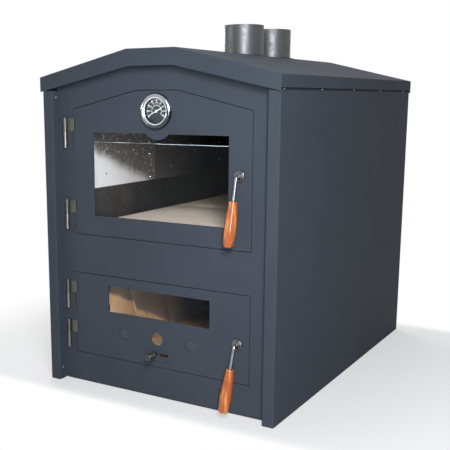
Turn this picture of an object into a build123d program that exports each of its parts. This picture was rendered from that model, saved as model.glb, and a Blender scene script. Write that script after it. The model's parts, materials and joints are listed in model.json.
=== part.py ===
from build123d import *
import math
import os

# Countertop wood-fired oven: fire chamber below, baking chamber above, two flue outlets.
# Millimetres. X to the right seen from the front, the doors face -Y, Z up.
# Origin: centre of the underside of the base plate, on the surface that the oven stands on.

# Casing
casing_width = 600.0
casing_depth = 870.0
side_height = 694.5
sheet = 2.0
post_width = 27.4
plate_recess = 22.5
bend_radius = 2.5
front_plate_thickness = 3.0
front_plate_lift = 4.5
plate_lip_depth = 18.5
plate_lip_inset = 10.0
bottom_flange_width = 26.0
upstand_inset = 4.0
upstand_height = 26.0

# Hood
ridge_rise = 57.0
eave_rise = 30.5
ridge_half_width = 61.0
hood_sheet = 2.0
hood_side_overhang = 2.7
hood_front_overhang = 5.6
hood_rear_overhang = 3.0
skirt_gap = 5.0
hood_edge_drop = 2.5
hood_arch_drop = 36.0
hood_arch_half_width = 56.0
hood_lip_drop = 2.0
hood_edge_gap = 0.3
roof_clearance = 1.0

# Casing screws
screw_head_radius = 2.3
screw_head_height = 2.0
screw_shank_radius = 1.5
screw_length = 7.0
screw_hole_clearance = 0.1
hood_screw_first = 21.0
hood_screw_pitch = 200.0
screw_crown_radius = 0.8
plate_screw_inset = 15.0
plate_screw_depth = 12.0
back_screw_count = 4
back_screw_inset = 60.0

# Doors
door_thickness = 3.0
door_gap = 1.5
upper_door_side_margin = 70.0
upper_door_bottom = 365.0
upper_door_top_margin = 11.5
upper_door_slope_rise = 41.5
upper_door_bend = 53.0
lower_door_left_margin = 67.0
lower_door_right_margin = 70.0
lower_door_bottom = 74.5
lower_door_height = 196.0

# Windows and glass
upper_window_left_margin = 56.0
upper_window_right_margin = 54.0
upper_window_bottom_margin = 46.0
upper_window_top_margin = 51.0
window_tab_radius = 39.0
window_tab_rise = 26.0
air_wash_height = 21.0
lower_window_left_margin = 94.0
lower_window_right_margin = 97.0
lower_window_bottom_margin = 46.0
lower_window_top_margin = 22.5
glass_thickness = 4.0
glass_overlap = 12.0
lower_glass_overlap = 7.5
glass_tape_thickness = 1.0
glass_tape_width = 7.0
clip_width = 16.0
clip_thickness = 1.5
clip_foot = 11.0
clip_lap = 6.0
clip_screw_radius = 1.5
clip_screw_head_radius = 2.8
clip_screw_head_height = 1.8
clip_screw_depth = 2.0

# Door seal and the frame that it closes on
seal_edge_inset = 4.5
seal_width = 9.0
seal_clearance = 0.3
channel_wall = 1.0
channel_depth = 4.0
frame_setback = 12.0
frame_thickness = 2.0
frame_mouth_inset = 18.0
collar_thickness = 2.0

# Hinges
hinge_offset = 21.0
hinge_height = 70.0
hinge_split = 38.0
hinge_gap = 0.5
hinge_barrel_radius = 4.5
hinge_axis_standoff = 5.0
hinge_pin_radius = 2.5
hinge_running_clearance = 0.05
hinge_leaf_lap = 4.0
hinge_leaf_thickness = 2.0
hinge_leaf_standoff = 0.5
hinge_leaf_radius = 4.0
hinge_leaf_clearance = 1.5
hinge_pin_tip = 2.0
hinge_pin_seat = 3.0
upper_door_low_hinge = 10.0
upper_door_high_hinge = 88.0
lower_door_low_hinge = 9.0
lower_door_high_hinge = 89.0

# Thermometer
gauge_drop = 43.5
gauge_case_radius = 35.0
gauge_case_depth = 8.0
gauge_case_wall = 1.0
gauge_bezel_radius = 38.7
gauge_dial_opening = 27.3
gauge_bezel_clearance = 0.05
gauge_bezel_crown = 10.8
gauge_bezel_start = 0.5
gauge_bezel_hem = 1.5
gauge_bezel_shoulder = 3.5
gauge_bezel_draft = 0.7
gauge_bezel_rise = 0.3
gauge_bezel_land = 4.0
gauge_bezel_inset = 1.0
gauge_bezel_edge = 0.6
gauge_dial_thickness = 0.6
gauge_lens_thickness = 1.5
gauge_lens_clearance = 0.1
gauge_neck_radius = 6.0
gauge_neck_length = 12.0
gauge_neck_hole_clearance = 0.4
gauge_nut_radius = 11.0
gauge_nut_thickness = 5.0
gauge_probe_radius = 3.0
gauge_probe_reach = 110.0
needle_arbor_radius = 0.75
needle_arbor_clearance = 0.05
needle_length = 23.0
needle_tail = 14.5
needle_width = 1.3
needle_tip_width = 0.4
needle_thickness = 0.5
needle_standoff = 3.0
needle_rest_angle = 244.0

# Latches
latch_inset = 27.5
upper_latch_rise = 156.0
lower_latch_rise = 22.0
lever_rod_radius = 3.5
lever_standoff = 16.0
lever_bend_radius = 7.0
lever_tilt = 6.0
upper_lever_lean = 2.0
lower_lever_lean = 7.0
grip_start = 50.5
grip_length = 97.5
grip_top_radius = 8.8
grip_belly_radius = 13.0
grip_end_radius = 10.0
grip_belly_share = 0.66
grip_rod_depth = 70.0
grip_edge_radius = 1.2
bush_radius = 12.0
bush_neck_radius = 8.0
bush_neck_height = 8.5
bush_face_height = 5.0
bush_edge_radius = 1.5
bush_sleeve_radius = 6.0
latch_running_clearance = 0.05
cam_clearance = 0.6
cam_thickness = 4.0
cam_hub_radius = 6.0
cam_width = 9.0
cam_reach = 16.0
cam_nut_radius = 5.5
cam_nut_thickness = 4.0
spindle_tail = 2.0

# Air holes and slide of the lower door
air_hole_radius = 15.0
air_hole_offset = 4.0
air_hole_pitch = 90.0
air_hole_rise = 35.5
slide_travel = 32.0
slide_thickness = 1.5
slide_clearance = 0.4
slide_half_height = 22.0
slide_end_margin = 9.0
slide_tab_half_width = 9.0
guide_sheet = 1.5
guide_foot = 7.0
guide_lap = 4.0
guide_end_gap = 3.0
knob_rise = 29.5
knob_offset = 8.0
knob_stem_radius = 3.0
knob_slot_clearance = 0.6
knob_radius = 9.0
knob_length = 24.0
knob_standoff = 9.0
knob_edge_radius = 2.0
knob_groove_depth = 1.2
knob_groove_width = 2.0
knob_groove_count = 4
tab_drop = 8.0

# Inner body
jacket_side_gap = 48.0
jacket_bottom = 40.0
jacket_top_rise = 11.5
jacket_rear_gap = 40.0
jacket_sheet = 2.0
chamber_side_gap = 30.0
chamber_floor_rise = 5.0
chamber_slope_rise = 40.0
chamber_top_gap = 25.0
chamber_bend = 56.0
chamber_rear_gap = 30.0
chamber_sheet = 2.0
support_inset = 200.0
support_leg = 30.0
support_thickness = 3.0

# Baking floor and side liners
hearth_side_gap = 32.0
hearth_thickness = 22.0
hearth_edge_chamfer = 1.0
hearth_count = 2
hearth_joint = 0.5
hearth_end_gap = 6.0
liner_thickness = 1.5
liner_rise = 96.0
liner_top_gap = 9.0
liner_joint = 340.0
liner_joint_gap = 1.0
liner_end_gap = 6.0
rivet_radius = 3.0
rivet_height = 1.4
rivet_shank_radius = 1.6
rivet_row_count = 3
rivet_row_inset = 31.5
rivet_inset = 89.0

# Firebricks
brick_thickness = 30.0
brick_joint = 0.5
brick_rows = 5
brick_end_gap = 14.0
floor_side_gap = 93.0
floor_columns = 2
side_brick_length = 230.0
side_brick_lean = 15.0
side_brick_toe_gap = 1.0
back_brick_height = 230.0
back_brick_side_gap = 1.0
wall_gap = 0.3

# Insulation
side_blanket_thickness = 40.0
back_blanket_thickness = 30.0
top_blanket_thickness = 24.0
blanket_gap = 0.3
blanket_top_margin = 20.0
base_board_inset = 8.0

# Flue outlets
flue_radius = 50.0
flue_wall = 2.0
flue_swage = 1.5
flue_swage_gap = 1.0
flue_height = 76.0
smoke_flue_position = 427.0
vent_flue_position = 593.0
flue_hole_clearance = 0.3
flue_ring_width = 9.0
flue_ring_thickness = 1.5

cut_margin = 1.0

# Places that several pieces share
front_y = -casing_depth / 2
rear_y = casing_depth / 2
half_width = casing_width / 2
eave_height = side_height + eave_rise
ridge_height = eave_height + ridge_rise
flue_top = ridge_height + flue_height
flue_neck_radius = flue_radius - flue_swage
flue_neck_bore = flue_neck_radius - flue_wall
flue_neck_hole = flue_neck_radius + flue_hole_clearance
jacket_half_width = half_width - jacket_side_gap
jacket_top = side_height + jacket_top_rise
plate_y = front_y + plate_recess
frame_y = plate_y + frame_setback
frame_back_y = frame_y + frame_thickness
door_back_y = plate_y + door_thickness
jacket_rear_y = rear_y - jacket_rear_gap
chamber_half_width = jacket_half_width - chamber_side_gap
chamber_floor = upper_door_bottom + chamber_floor_rise
chamber_peak = jacket_top - chamber_top_gap
chamber_shoulder = chamber_peak - chamber_slope_rise
chamber_rear_y = jacket_rear_y - chamber_rear_gap
hearth_half_width = chamber_half_width - hearth_side_gap
liner_bottom = chamber_floor + liner_rise
liner_top = chamber_shoulder - liner_top_gap
floor_half_width = jacket_half_width - floor_side_gap
hood_half_width = half_width + hood_side_overhang
roof_slope = (ridge_height - eave_height) / (hood_half_width - ridge_half_width)
skirt_bottom = side_height + skirt_gap
hood_front = front_y - hood_front_overhang
hood_rear = rear_y + hood_rear_overhang
hood_edge_height = side_height - hood_edge_drop
hood_arch_height = ridge_height - hood_arch_drop
hood_screw_count = 1 + math.floor((casing_depth - 2 * hood_screw_first) / hood_screw_pitch)
upstand_x = half_width - upstand_inset

# Outlines and places on the doors
upper_door_half_width = half_width - upper_door_side_margin
upper_door_peak = jacket_top - upper_door_top_margin
upper_door_shoulder = upper_door_peak - upper_door_slope_rise
upper_window_left = upper_door_half_width - upper_window_left_margin
upper_window_right = upper_door_half_width - upper_window_right_margin
upper_window_bottom = upper_door_bottom + upper_window_bottom_margin
upper_window_top = upper_door_shoulder - upper_window_top_margin
window_tab_height = upper_window_top + window_tab_rise
upper_glass_top = upper_window_top - air_wash_height
gauge_height = upper_door_peak - gauge_drop
lower_door_left = half_width - lower_door_left_margin
lower_door_right = half_width - lower_door_right_margin
lower_door_top = lower_door_bottom + lower_door_height
knob_height = lower_door_bottom + knob_rise
air_hole_height = knob_height + air_hole_rise
air_hole_x = -air_hole_offset
knob_x = -knob_offset
lower_window_left = lower_door_left - lower_window_left_margin
lower_window_right = lower_door_right - lower_window_right_margin
lower_window_bottom = air_hole_height + lower_window_bottom_margin
lower_window_top = lower_door_top - lower_window_top_margin
latch_x = lower_door_right - latch_inset
upper_latch_height = upper_door_bottom + upper_latch_rise
lower_latch_height = air_hole_height + lower_latch_rise
upper_hinge_bottoms = (upper_door_bottom + upper_door_low_hinge,
                       upper_door_shoulder - upper_door_high_hinge)
lower_hinge_bottoms = (lower_door_bottom + lower_door_low_hinge,
                       lower_door_top - lower_door_high_hinge)
hinge_y = plate_y - hinge_axis_standoff
upper_hinge_x = -upper_door_half_width - hinge_offset
lower_hinge_x = -lower_door_left - hinge_offset
glass_y = door_back_y + glass_tape_thickness
glass_back_y = glass_y + glass_thickness
slide_y = door_back_y + slide_clearance
cam_y = frame_back_y + cam_clearance
fire_front_y = frame_back_y + brick_end_gap
smoke_flue_y = front_y + smoke_flue_position
vent_flue_y = front_y + vent_flue_position


def block(x0, x1, y0, y1, z0, z1):
    """Box between two opposite corners."""
    return Pos((x0 + x1) / 2, (y0 + y1) / 2, (z0 + z1) / 2) * Box(x1 - x0, y1 - y0, z1 - z0)


def bar_x(y, z, radius, x0, x1):
    """Round bar along X."""
    return Pos((x0 + x1) / 2, y, z) * Rot(0, 90, 0) * Cylinder(radius, x1 - x0)


def bar_y(x, z, radius, y0, y1):
    """Round bar along Y."""
    return Pos(x, (y0 + y1) / 2, z) * Rot(90, 0, 0) * Cylinder(radius, y1 - y0)


def bar_z(x, y, radius, z0, z1):
    """Round bar along Z."""
    return Pos(x, y, (z0 + z1) / 2) * Cylinder(radius, z1 - z0)


def slab(points, y0, y1):
    """Flat plate with an outline of (x, z) points, between two depths."""
    outline = Polyline(*[(x, y0, z) for x, z in points], close=True)
    return extrude(make_face(outline), amount=y1 - y0, dir=(0, 1, 0))


def grown(points, distance):
    """Outline moved outwards by a distance, with sharp corners; points run anticlockwise."""
    moved = []
    count = len(points)
    for i in range(count):
        before = points[i - 1]
        here = points[i]
        after = points[(i + 1) % count]
        ax, az = here[0] - before[0], here[1] - before[1]
        bx, bz = after[0] - here[0], after[1] - here[1]
        a_len = math.hypot(ax, az)
        b_len = math.hypot(bx, bz)
        a_normal = (az / a_len, -ax / a_len)
        b_normal = (bz / b_len, -bx / b_len)
        scale = distance / (1 + a_normal[0] * b_normal[0] + a_normal[1] * b_normal[1])
        moved.append((here[0] + scale * (a_normal[0] + b_normal[0]),
                      here[1] + scale * (a_normal[1] + b_normal[1])))
    return moved


def rim(points, outer, inner, y0, y1):
    """Closed band that follows an outline, between two distances outside it."""
    hole = slab(grown(points, inner), y0 - cut_margin, y1 + cut_margin)
    return slab(grown(points, outer), y0, y1) - hole


def gable(half, bottom, shoulder, peak, bend):
    """Outline of a rectangle with a low gabled top, anticlockwise seen from the front."""
    return [(-half, bottom), (half, bottom), (half, shoulder),
            (bend, peak), (-bend, peak), (-half, shoulder)]


def box_outline(left, right, bottom, top):
    """Rectangular outline, anticlockwise seen from the front."""
    return [(-left, bottom), (right, bottom), (right, top), (-left, top)]


def roof_underside(x):
    """Height of the roof sheet's lower face above a place across the width."""
    thickness = hood_sheet * math.hypot(1, roof_slope)
    if abs(x) < ridge_half_width:
        return ridge_height - hood_sheet
    return ridge_height - roof_slope * (abs(x) - ridge_half_width) - thickness


def under_roof(half, bottom):
    """Outline of an upright sheet that ends just below the roof."""
    peak = ridge_height - hood_sheet - roof_clearance
    return gable(half, bottom, roof_underside(half) - roof_clearance, peak, ridge_half_width)


def both_sides(solid):
    """A piece and its mirror image across the middle of the oven."""
    return [solid, mirror(solid, about=Plane.YZ)]


upper_outline = gable(upper_door_half_width, upper_door_bottom, upper_door_shoulder,
                      upper_door_peak, upper_door_bend)
lower_outline = box_outline(lower_door_left, lower_door_right, lower_door_bottom, lower_door_top)


# Casing screws: place of the head's seat and the way the head points
def hood_screw_places():
    """A row on each side, in the gap under the hood's skirt."""
    z = side_height + skirt_gap / 2
    places = []
    for i in range(hood_screw_count):
        y = front_y + hood_screw_first + i * hood_screw_pitch
        for side in (-1, 1):
            places.append(((side * upstand_x, y, z), (side, 0, 0)))
    return places


def plate_screw_places():
    """Two on each side, through the posts into the front plate's lips."""
    low = front_plate_lift + plate_lip_inset + plate_screw_inset
    high = side_height - plate_screw_inset
    y = front_y + plate_screw_depth
    places = []
    for z in (low, high):
        for side in (-1, 1):
            places.append(((side * (half_width - post_width), y, z), (-side, 0, 0)))
    return places


def back_screw_places():
    """A column on each side, through the rear flanges into the back panel."""
    step = (side_height - 2 * back_screw_inset) / (back_screw_count - 1)
    places = []
    for i in range(back_screw_count):
        for side in (-1, 1):
            x = side * (half_width - bottom_flange_width / 2)
            places.append(((x, rear_y, back_screw_inset + i * step), (0, 1, 0)))
    return places


def screw(place, direction):
    """Pan-head screw with its head standing on a place."""
    head = Pos(0, 0, screw_head_height / 2) * Cylinder(screw_head_radius, screw_head_height)
    head = fillet(head.edges().sort_by(Axis.Z)[-1], screw_crown_radius)
    shank = Pos(0, 0, -screw_length / 2) * Cylinder(screw_shank_radius, screw_length)
    return Plane(place, z_dir=direction).location * (head + shank)


def screw_holes(places):
    """Clearance holes for a list of screws."""
    radius = screw_shank_radius + screw_hole_clearance
    holes = []
    for place, direction in places:
        hole = Cylinder(radius, 2 * (screw_length + cut_margin))
        holes.append(Plane(place, z_dir=direction).location * hole)
    return holes


def casing_screws():
    """All screws of the casing."""
    places = hood_screw_places() + plate_screw_places() + back_screw_places()
    return [screw(place, direction) for place, direction in places]


# Casing sheets
def side_panel():
    """Left side: outer wall folded into the front post, the rear and bottom flanges and the upstand."""
    post_x = -half_width + post_width
    flange_x = -half_width + bottom_flange_width
    plan = [(-half_width, front_y), (post_x, front_y), (post_x, plate_y), (post_x - sheet, plate_y),
            (post_x - sheet, front_y + sheet), (-half_width + sheet, front_y + sheet),
            (-half_width + sheet, rear_y - sheet), (flange_x, rear_y - sheet), (flange_x, rear_y),
            (-half_width, rear_y)]
    wall = extrude(make_face(Polyline(*[(x, y, 0) for x, y in plan], close=True)), amount=side_height)
    bends = [(-half_width, front_y), (post_x, front_y), (-half_width, rear_y)]
    for edge in wall.edges().filter_by(Axis.Z):
        middle = edge.center()
        if any(math.hypot(middle.X - x, middle.Y - y) < sheet / 2 for x, y in bends):
            wall = fillet(wall.edges().filter_by(Axis.Z).sort_by_distance(middle)[0], bend_radius)
    foot_start = plate_y + front_plate_thickness + door_gap
    foot = block(-half_width + sheet, flange_x, foot_start, rear_y - 2 * sheet, sheet, 2 * sheet)
    shelf = block(-half_width + sheet, -upstand_x + sheet, front_y + 2 * sheet, rear_y - sheet,
                  side_height - sheet, side_height)
    upstand = block(-upstand_x, -upstand_x + sheet, front_y + 2 * sheet, rear_y - sheet,
                    side_height - sheet, side_height + upstand_height)
    return wall + foot + shelf + upstand - screw_holes(
        hood_screw_places() + plate_screw_places() + back_screw_places())


def with_round_eaves(sheet_piece):
    """A sheet of the hood with its two outer eave bends rounded."""
    for x in (-hood_half_width, hood_half_width):
        eave = sheet_piece.edges().filter_by(Axis.Y).sort_by_distance((x, 0, eave_height))[0]
        sheet_piece = fillet(eave, hood_sheet)
    return sheet_piece


def hood():
    """Gabled roof with side skirts and the inner fixing lips, open at both ends."""
    outer = gable(hood_half_width, skirt_bottom, eave_height, ridge_height, ridge_half_width)
    inner_half = hood_half_width - hood_sheet
    inner = gable(inner_half, skirt_bottom - cut_margin, roof_underside(inner_half),
                  ridge_height - hood_sheet, ridge_half_width)
    y0 = hood_front + hood_sheet + hood_edge_gap
    y1 = hood_rear - hood_sheet - hood_edge_gap
    shell = with_round_eaves(slab(outer, y0, y1) - slab(inner, y0 - cut_margin, y1 + cut_margin))
    lip_x = upstand_x - sheet
    lip_low = side_height - hood_lip_drop
    lip = block(-lip_x, -lip_x + hood_sheet, front_y + 2 * sheet, rear_y - 3 * sheet,
                lip_low, roof_underside(lip_x) + hood_sheet / 2)
    shell = shell + both_sides(lip) - screw_holes(hood_screw_places())
    for y in (smoke_flue_y, vent_flue_y):
        shell -= bar_z(0, y, flue_neck_hole, eave_height, ridge_height + cut_margin)
    return shell


def hood_edge(y0):
    """Arched plate across one end of the roof, with its front face at a place along the depth."""
    outline = [(-hood_half_width, hood_edge_height), (-hood_arch_half_width, hood_arch_height),
               (hood_arch_half_width, hood_arch_height), (hood_half_width, hood_edge_height),
               (hood_half_width, eave_height), (ridge_half_width, ridge_height),
               (-ridge_half_width, ridge_height), (-hood_half_width, eave_height)]
    return with_round_eaves(slab(outline, y0, y0 + hood_sheet))


def front_plate():
    """Recessed front sheet with the two door openings and side lips held behind the posts."""
    half = half_width - post_width + 2 * sheet
    back = plate_y + front_plate_thickness
    plate = slab(under_roof(half, front_plate_lift), plate_y, back)
    for outline in (upper_outline, lower_outline):
        plate -= slab(grown(outline, door_gap), plate_y - cut_margin, back + cut_margin)
    lip = block(-half, -half + sheet, plate_y - plate_lip_depth, plate_y,
                front_plate_lift + plate_lip_inset, side_height - 2 * sheet)
    return plate + both_sides(lip) - screw_holes(plate_screw_places())


def back_panel():
    """Rear sheet between the rear flanges and the inner body."""
    outline = under_roof(upstand_x - 2 * sheet - roof_clearance, sheet + blanket_gap)
    return slab(outline, rear_y - 2 * sheet, rear_y - sheet) - screw_holes(back_screw_places())


def base_plate():
    """Bottom sheet that the oven stands on."""
    half = half_width - sheet - blanket_gap
    start = plate_y + front_plate_thickness + door_gap
    return block(-half, half, start, rear_y - sheet - blanket_gap, 0, sheet)


# Inner body
def smoke_jacket():
    """Sheets round the fire chamber and the smoke space: floor, lid, rear wall and two sides."""
    half = jacket_half_width
    inner = half - jacket_sheet
    floor_z = jacket_bottom + jacket_sheet
    lid_z = jacket_top - jacket_sheet
    rear_wall_y = jacket_rear_y - jacket_sheet
    floor = block(-half, half, frame_back_y, jacket_rear_y, jacket_bottom, floor_z)
    lid = block(-half, half, frame_back_y, jacket_rear_y, lid_z, jacket_top)
    lid -= bar_z(0, smoke_flue_y, flue_neck_bore, lid_z - cut_margin, jacket_top + cut_margin)
    lid -= bar_z(0, vent_flue_y, flue_neck_hole, lid_z - cut_margin, jacket_top + cut_margin)
    rear = block(-inner, inner, rear_wall_y, jacket_rear_y, floor_z, lid_z)
    side = block(-half, -inner, frame_back_y, jacket_rear_y, floor_z, lid_z)
    return [floor, lid, rear] + both_sides(side)


def mouth_frame():
    """Frame behind the front plate that both door seals close on, with a collar round each door."""
    frame = block(-jacket_half_width, jacket_half_width, frame_y, frame_back_y,
                  jacket_bottom, jacket_top)
    collar_y = plate_y + front_plate_thickness
    for outline in (upper_outline, lower_outline):
        mouth = grown(outline, -frame_mouth_inset)
        frame -= slab(mouth, frame_y - cut_margin, frame_back_y + cut_margin)
        frame += rim(outline, door_gap + collar_thickness, door_gap, collar_y, frame_y)
    return frame


def baking_chamber():
    """Gabled steel box, open at the front, that hangs in the smoke space."""
    inner = gable(chamber_half_width, chamber_floor, chamber_shoulder, chamber_peak, chamber_bend)
    shell = slab(grown(inner, chamber_sheet), frame_back_y, chamber_rear_y)
    shell -= slab(inner, frame_back_y - cut_margin, chamber_rear_y - chamber_sheet)
    shell -= bar_z(0, vent_flue_y, flue_neck_bore, chamber_peak - cut_margin,
                   chamber_peak + chamber_sheet + cut_margin)
    for x_side in (-1, 1):
        for y, z in rivet_places():
            reach = sorted((x_side * (chamber_half_width - cut_margin),
                            x_side * (chamber_half_width + chamber_sheet + cut_margin)))
            shell -= bar_x(y, z, rivet_shank_radius, *reach)
    return shell


def chamber_support():
    """Angle bar across the smoke jacket, under the rear of the baking chamber."""
    half = jacket_half_width - jacket_sheet
    top = chamber_floor - chamber_sheet
    y = chamber_rear_y - support_inset
    shelf = block(-half, half, y, y + support_leg, top - support_thickness, top)
    return shelf + block(-half, half, y, y + support_thickness, top - support_leg, top)


def hearth_slabs():
    """Refractory tiles of the baking floor."""
    start = frame_back_y + hearth_end_gap
    end = chamber_rear_y - chamber_sheet - hearth_end_gap
    length = (end - start - hearth_joint * (hearth_count - 1)) / hearth_count
    tiles = []
    for i in range(hearth_count):
        y = start + i * (length + hearth_joint)
        tile = block(-hearth_half_width, hearth_half_width, y, y + length,
                     chamber_floor, chamber_floor + hearth_thickness)
        tiles.append(chamfer(tile.edges().group_by(Axis.Z)[-1], hearth_edge_chamfer))
    return tiles


def liner_spans():
    """Front and rear ends of the side liner sheets on one side."""
    joint = front_y + liner_joint
    start = frame_back_y + liner_end_gap
    end = chamber_rear_y - chamber_sheet - liner_end_gap
    return [(start, joint - liner_joint_gap / 2), (joint + liner_joint_gap / 2, end)]


def rivet_places():
    """Depth and height of each liner rivet on one side."""
    step = (liner_top - liner_bottom - 2 * rivet_row_inset) / (rivet_row_count - 1)
    places = []
    for start, end in liner_spans():
        for y in (start + rivet_inset, end - rivet_inset):
            for i in range(rivet_row_count):
                places.append((y, liner_bottom + rivet_row_inset + i * step))
    return places


def side_liners():
    """Bright sheets on the upper part of the baking chamber's side walls."""
    sheets = []
    for start, end in liner_spans():
        face = -chamber_half_width + liner_thickness
        liner = block(-chamber_half_width, face, start, end, liner_bottom, liner_top)
        for y, z in rivet_places():
            liner -= bar_x(y, z, rivet_shank_radius, -chamber_half_width - cut_margin, face + cut_margin)
        sheets += both_sides(liner)
    return sheets


def liner_rivets():
    """Round-head rivets that hold the side liners."""
    rivets = []
    face = -chamber_half_width + liner_thickness
    for y, z in rivet_places():
        head = bar_x(y, z, rivet_radius, face, face + rivet_height)
        head = fillet(head.edges().sort_by(Axis.X)[-1], rivet_height * 0.7)
        shank = bar_x(y, z, rivet_shank_radius, -chamber_half_width - chamber_sheet, face)
        rivets += both_sides(head + shank)
    return rivets


# Firebricks
def brick_spans():
    """Front and rear ends of the bricks in one row along the depth."""
    end = jacket_rear_y - jacket_sheet - brick_thickness - 2 * wall_gap
    length = (end - fire_front_y - brick_joint * (brick_rows - 1)) / brick_rows
    starts = [fire_front_y + i * (length + brick_joint) for i in range(brick_rows)]
    return [(start, start + length) for start in starts]


def floor_bricks():
    """Bricks of the fire chamber's floor."""
    low = jacket_bottom + jacket_sheet
    width = (2 * floor_half_width - brick_joint * (floor_columns - 1)) / floor_columns
    bricks = []
    for start, end in brick_spans():
        for i in range(floor_columns):
            x = -floor_half_width + i * (width + brick_joint)
            bricks.append(block(x, x + width, start, end, low, low + brick_thickness))
    return bricks


def side_bricks():
    """Bricks that stand on the fire chamber's floor and lean out against the jacket."""
    lift = brick_thickness * math.sin(math.radians(side_brick_lean))
    toe_x = floor_half_width + side_brick_toe_gap
    toe_z = jacket_bottom + jacket_sheet + wall_gap + lift
    bricks = []
    for start, end in brick_spans():
        brick = block(-brick_thickness, 0, start, end, 0, side_brick_length)
        leaned = Pos(-toe_x, 0, toe_z) * Rot(0, -side_brick_lean, 0) * brick
        bricks += both_sides(leaned)
    return bricks


def back_bricks():
    """Two bricks against the rear wall of the fire chamber."""
    rear = jacket_rear_y - jacket_sheet - wall_gap
    low = jacket_bottom + jacket_sheet
    brick = block(back_brick_side_gap - floor_half_width, -brick_joint / 2, rear - brick_thickness, rear,
                  low, low + back_brick_height)
    return both_sides(brick)


# Insulation
def insulation():
    """Blankets round the jacket and the board that carries it."""
    start = plate_y + front_plate_thickness + door_gap
    near = jacket_half_width + blanket_gap
    side = block(-near - side_blanket_thickness, -near, start, jacket_rear_y, 2 * sheet + blanket_gap,
                 jacket_top - blanket_top_margin)
    back_y = jacket_rear_y + blanket_gap
    back = block(-jacket_half_width, jacket_half_width, back_y, back_y + back_blanket_thickness,
                 2 * sheet + blanket_gap, jacket_top)
    top_z = jacket_top + blanket_gap
    top = block(-jacket_half_width, jacket_half_width, start, jacket_rear_y,
                top_z, top_z + top_blanket_thickness)
    for y in (smoke_flue_y, vent_flue_y):
        top -= bar_z(0, y, flue_neck_hole, top_z - cut_margin,
                     top_z + top_blanket_thickness + cut_margin)
    board_half = jacket_half_width - base_board_inset
    board = block(-board_half, board_half, start, jacket_rear_y, sheet, jacket_bottom)
    return both_sides(side) + [back, top, board]


# Flue outlets
def pipe(y, bottom):
    """Round flue outlet from a seat up to its open end, swaged wider above its seal ring."""
    step = ridge_height + flue_ring_thickness + flue_swage_gap
    tube = bar_z(0, y, flue_neck_radius, bottom, step) + bar_z(0, y, flue_radius, step, flue_top)
    tube -= bar_z(0, y, flue_neck_bore, bottom - cut_margin, step + flue_wall)
    return tube - bar_z(0, y, flue_radius - flue_wall, step + flue_wall, flue_top + cut_margin)


def smoke_flue():
    """Front outlet, from the smoke jacket."""
    return pipe(smoke_flue_y, jacket_top)


def vent_flue():
    """Rear outlet, from the baking chamber."""
    return pipe(vent_flue_y, chamber_peak + chamber_sheet)


def flue_rings():
    """Flat seal rings round both outlets, on the ridge."""
    rings = []
    top = ridge_height + flue_ring_thickness
    for y in (smoke_flue_y, vent_flue_y):
        ring = bar_z(0, y, flue_radius + flue_ring_width, ridge_height, top)
        hole = bar_z(0, y, flue_neck_hole, ridge_height - cut_margin, top + cut_margin)
        rings.append(ring - hole)
    return rings


# Hinges
def hinge_leaf(axis_x, reach, z0, z1, standoff):
    """Flat leaf beside a hinge barrel, with its two free corners rounded."""
    y1 = plate_y - standoff
    leaf = block(axis_x, axis_x + reach, y1 - hinge_leaf_thickness, y1, z0, z1)
    corners = leaf.edges().filter_by(Axis.Y).sort_by(Axis.X)[-2:]
    return fillet(corners, hinge_leaf_radius)


def door_hinge(axis_x, bottom):
    """Upper half of a lift-off hinge: barrel and leaf, welded to the door's left edge."""
    z0 = bottom + hinge_split + hinge_gap
    z1 = bottom + hinge_height - hinge_pin_tip
    leaf = hinge_leaf(axis_x, hinge_offset + hinge_leaf_lap, z0, z1, hinge_leaf_standoff)
    weld_x = axis_x + hinge_offset
    weld_end = weld_x + hinge_leaf_lap - hinge_leaf_standoff
    weld = block(weld_x, weld_end, plate_y - hinge_leaf_standoff, plate_y,
                 z0 + hinge_leaf_radius, z1 - hinge_leaf_radius)
    barrel = bar_z(axis_x, hinge_y, hinge_barrel_radius, z0, z1)
    bore_radius = hinge_pin_radius + hinge_running_clearance
    return leaf + weld + barrel - bar_z(axis_x, hinge_y, bore_radius, z0 - cut_margin, z1 + cut_margin)


def frame_hinge(axis_x, bottom):
    """Lower half of a lift-off hinge: barrel and leaf, welded to the front plate."""
    z1 = bottom + hinge_split
    reach = hinge_offset - door_gap - hinge_leaf_clearance
    leaf = hinge_leaf(axis_x, reach, bottom, z1, hinge_leaf_standoff)
    weld = block(axis_x + hinge_barrel_radius, axis_x + reach - hinge_leaf_radius,
                 plate_y - hinge_leaf_standoff, plate_y, bottom + hinge_leaf_radius, z1 - hinge_leaf_radius)
    barrel = bar_z(axis_x, hinge_y, hinge_barrel_radius, bottom, z1)
    bore = bar_z(axis_x, hinge_y, hinge_pin_radius, bottom + hinge_pin_seat, z1 + cut_margin)
    return leaf + weld + barrel - bore


def hinge_pin(axis_x, bottom):
    """Pin fixed in the lower half, with a rounded tip above the upper half."""
    pin = bar_z(axis_x, hinge_y, hinge_pin_radius, bottom + hinge_pin_seat, bottom + hinge_height)
    return fillet(pin.edges().sort_by(Axis.Z)[-1], hinge_pin_radius * 0.6)


def hinge_places():
    """Axis and lowest point of each of the four hinges."""
    return ([(upper_hinge_x, z) for z in upper_hinge_bottoms]
            + [(lower_hinge_x, z) for z in lower_hinge_bottoms])


def upper_window():
    """Opening of the upper door, with the round tab under the thermometer."""
    y0, y1 = plate_y - cut_margin, door_back_y + cut_margin
    opening = block(-upper_window_left, upper_window_right, y0, y1,
                    upper_window_bottom, upper_window_top)
    return opening - bar_y(0, window_tab_height, window_tab_radius, y0, y1)


def latch_hole(z):
    """Hole for a latch bush."""
    return bar_y(latch_x, z, bush_sleeve_radius, plate_y - cut_margin, door_back_y + cut_margin)


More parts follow.
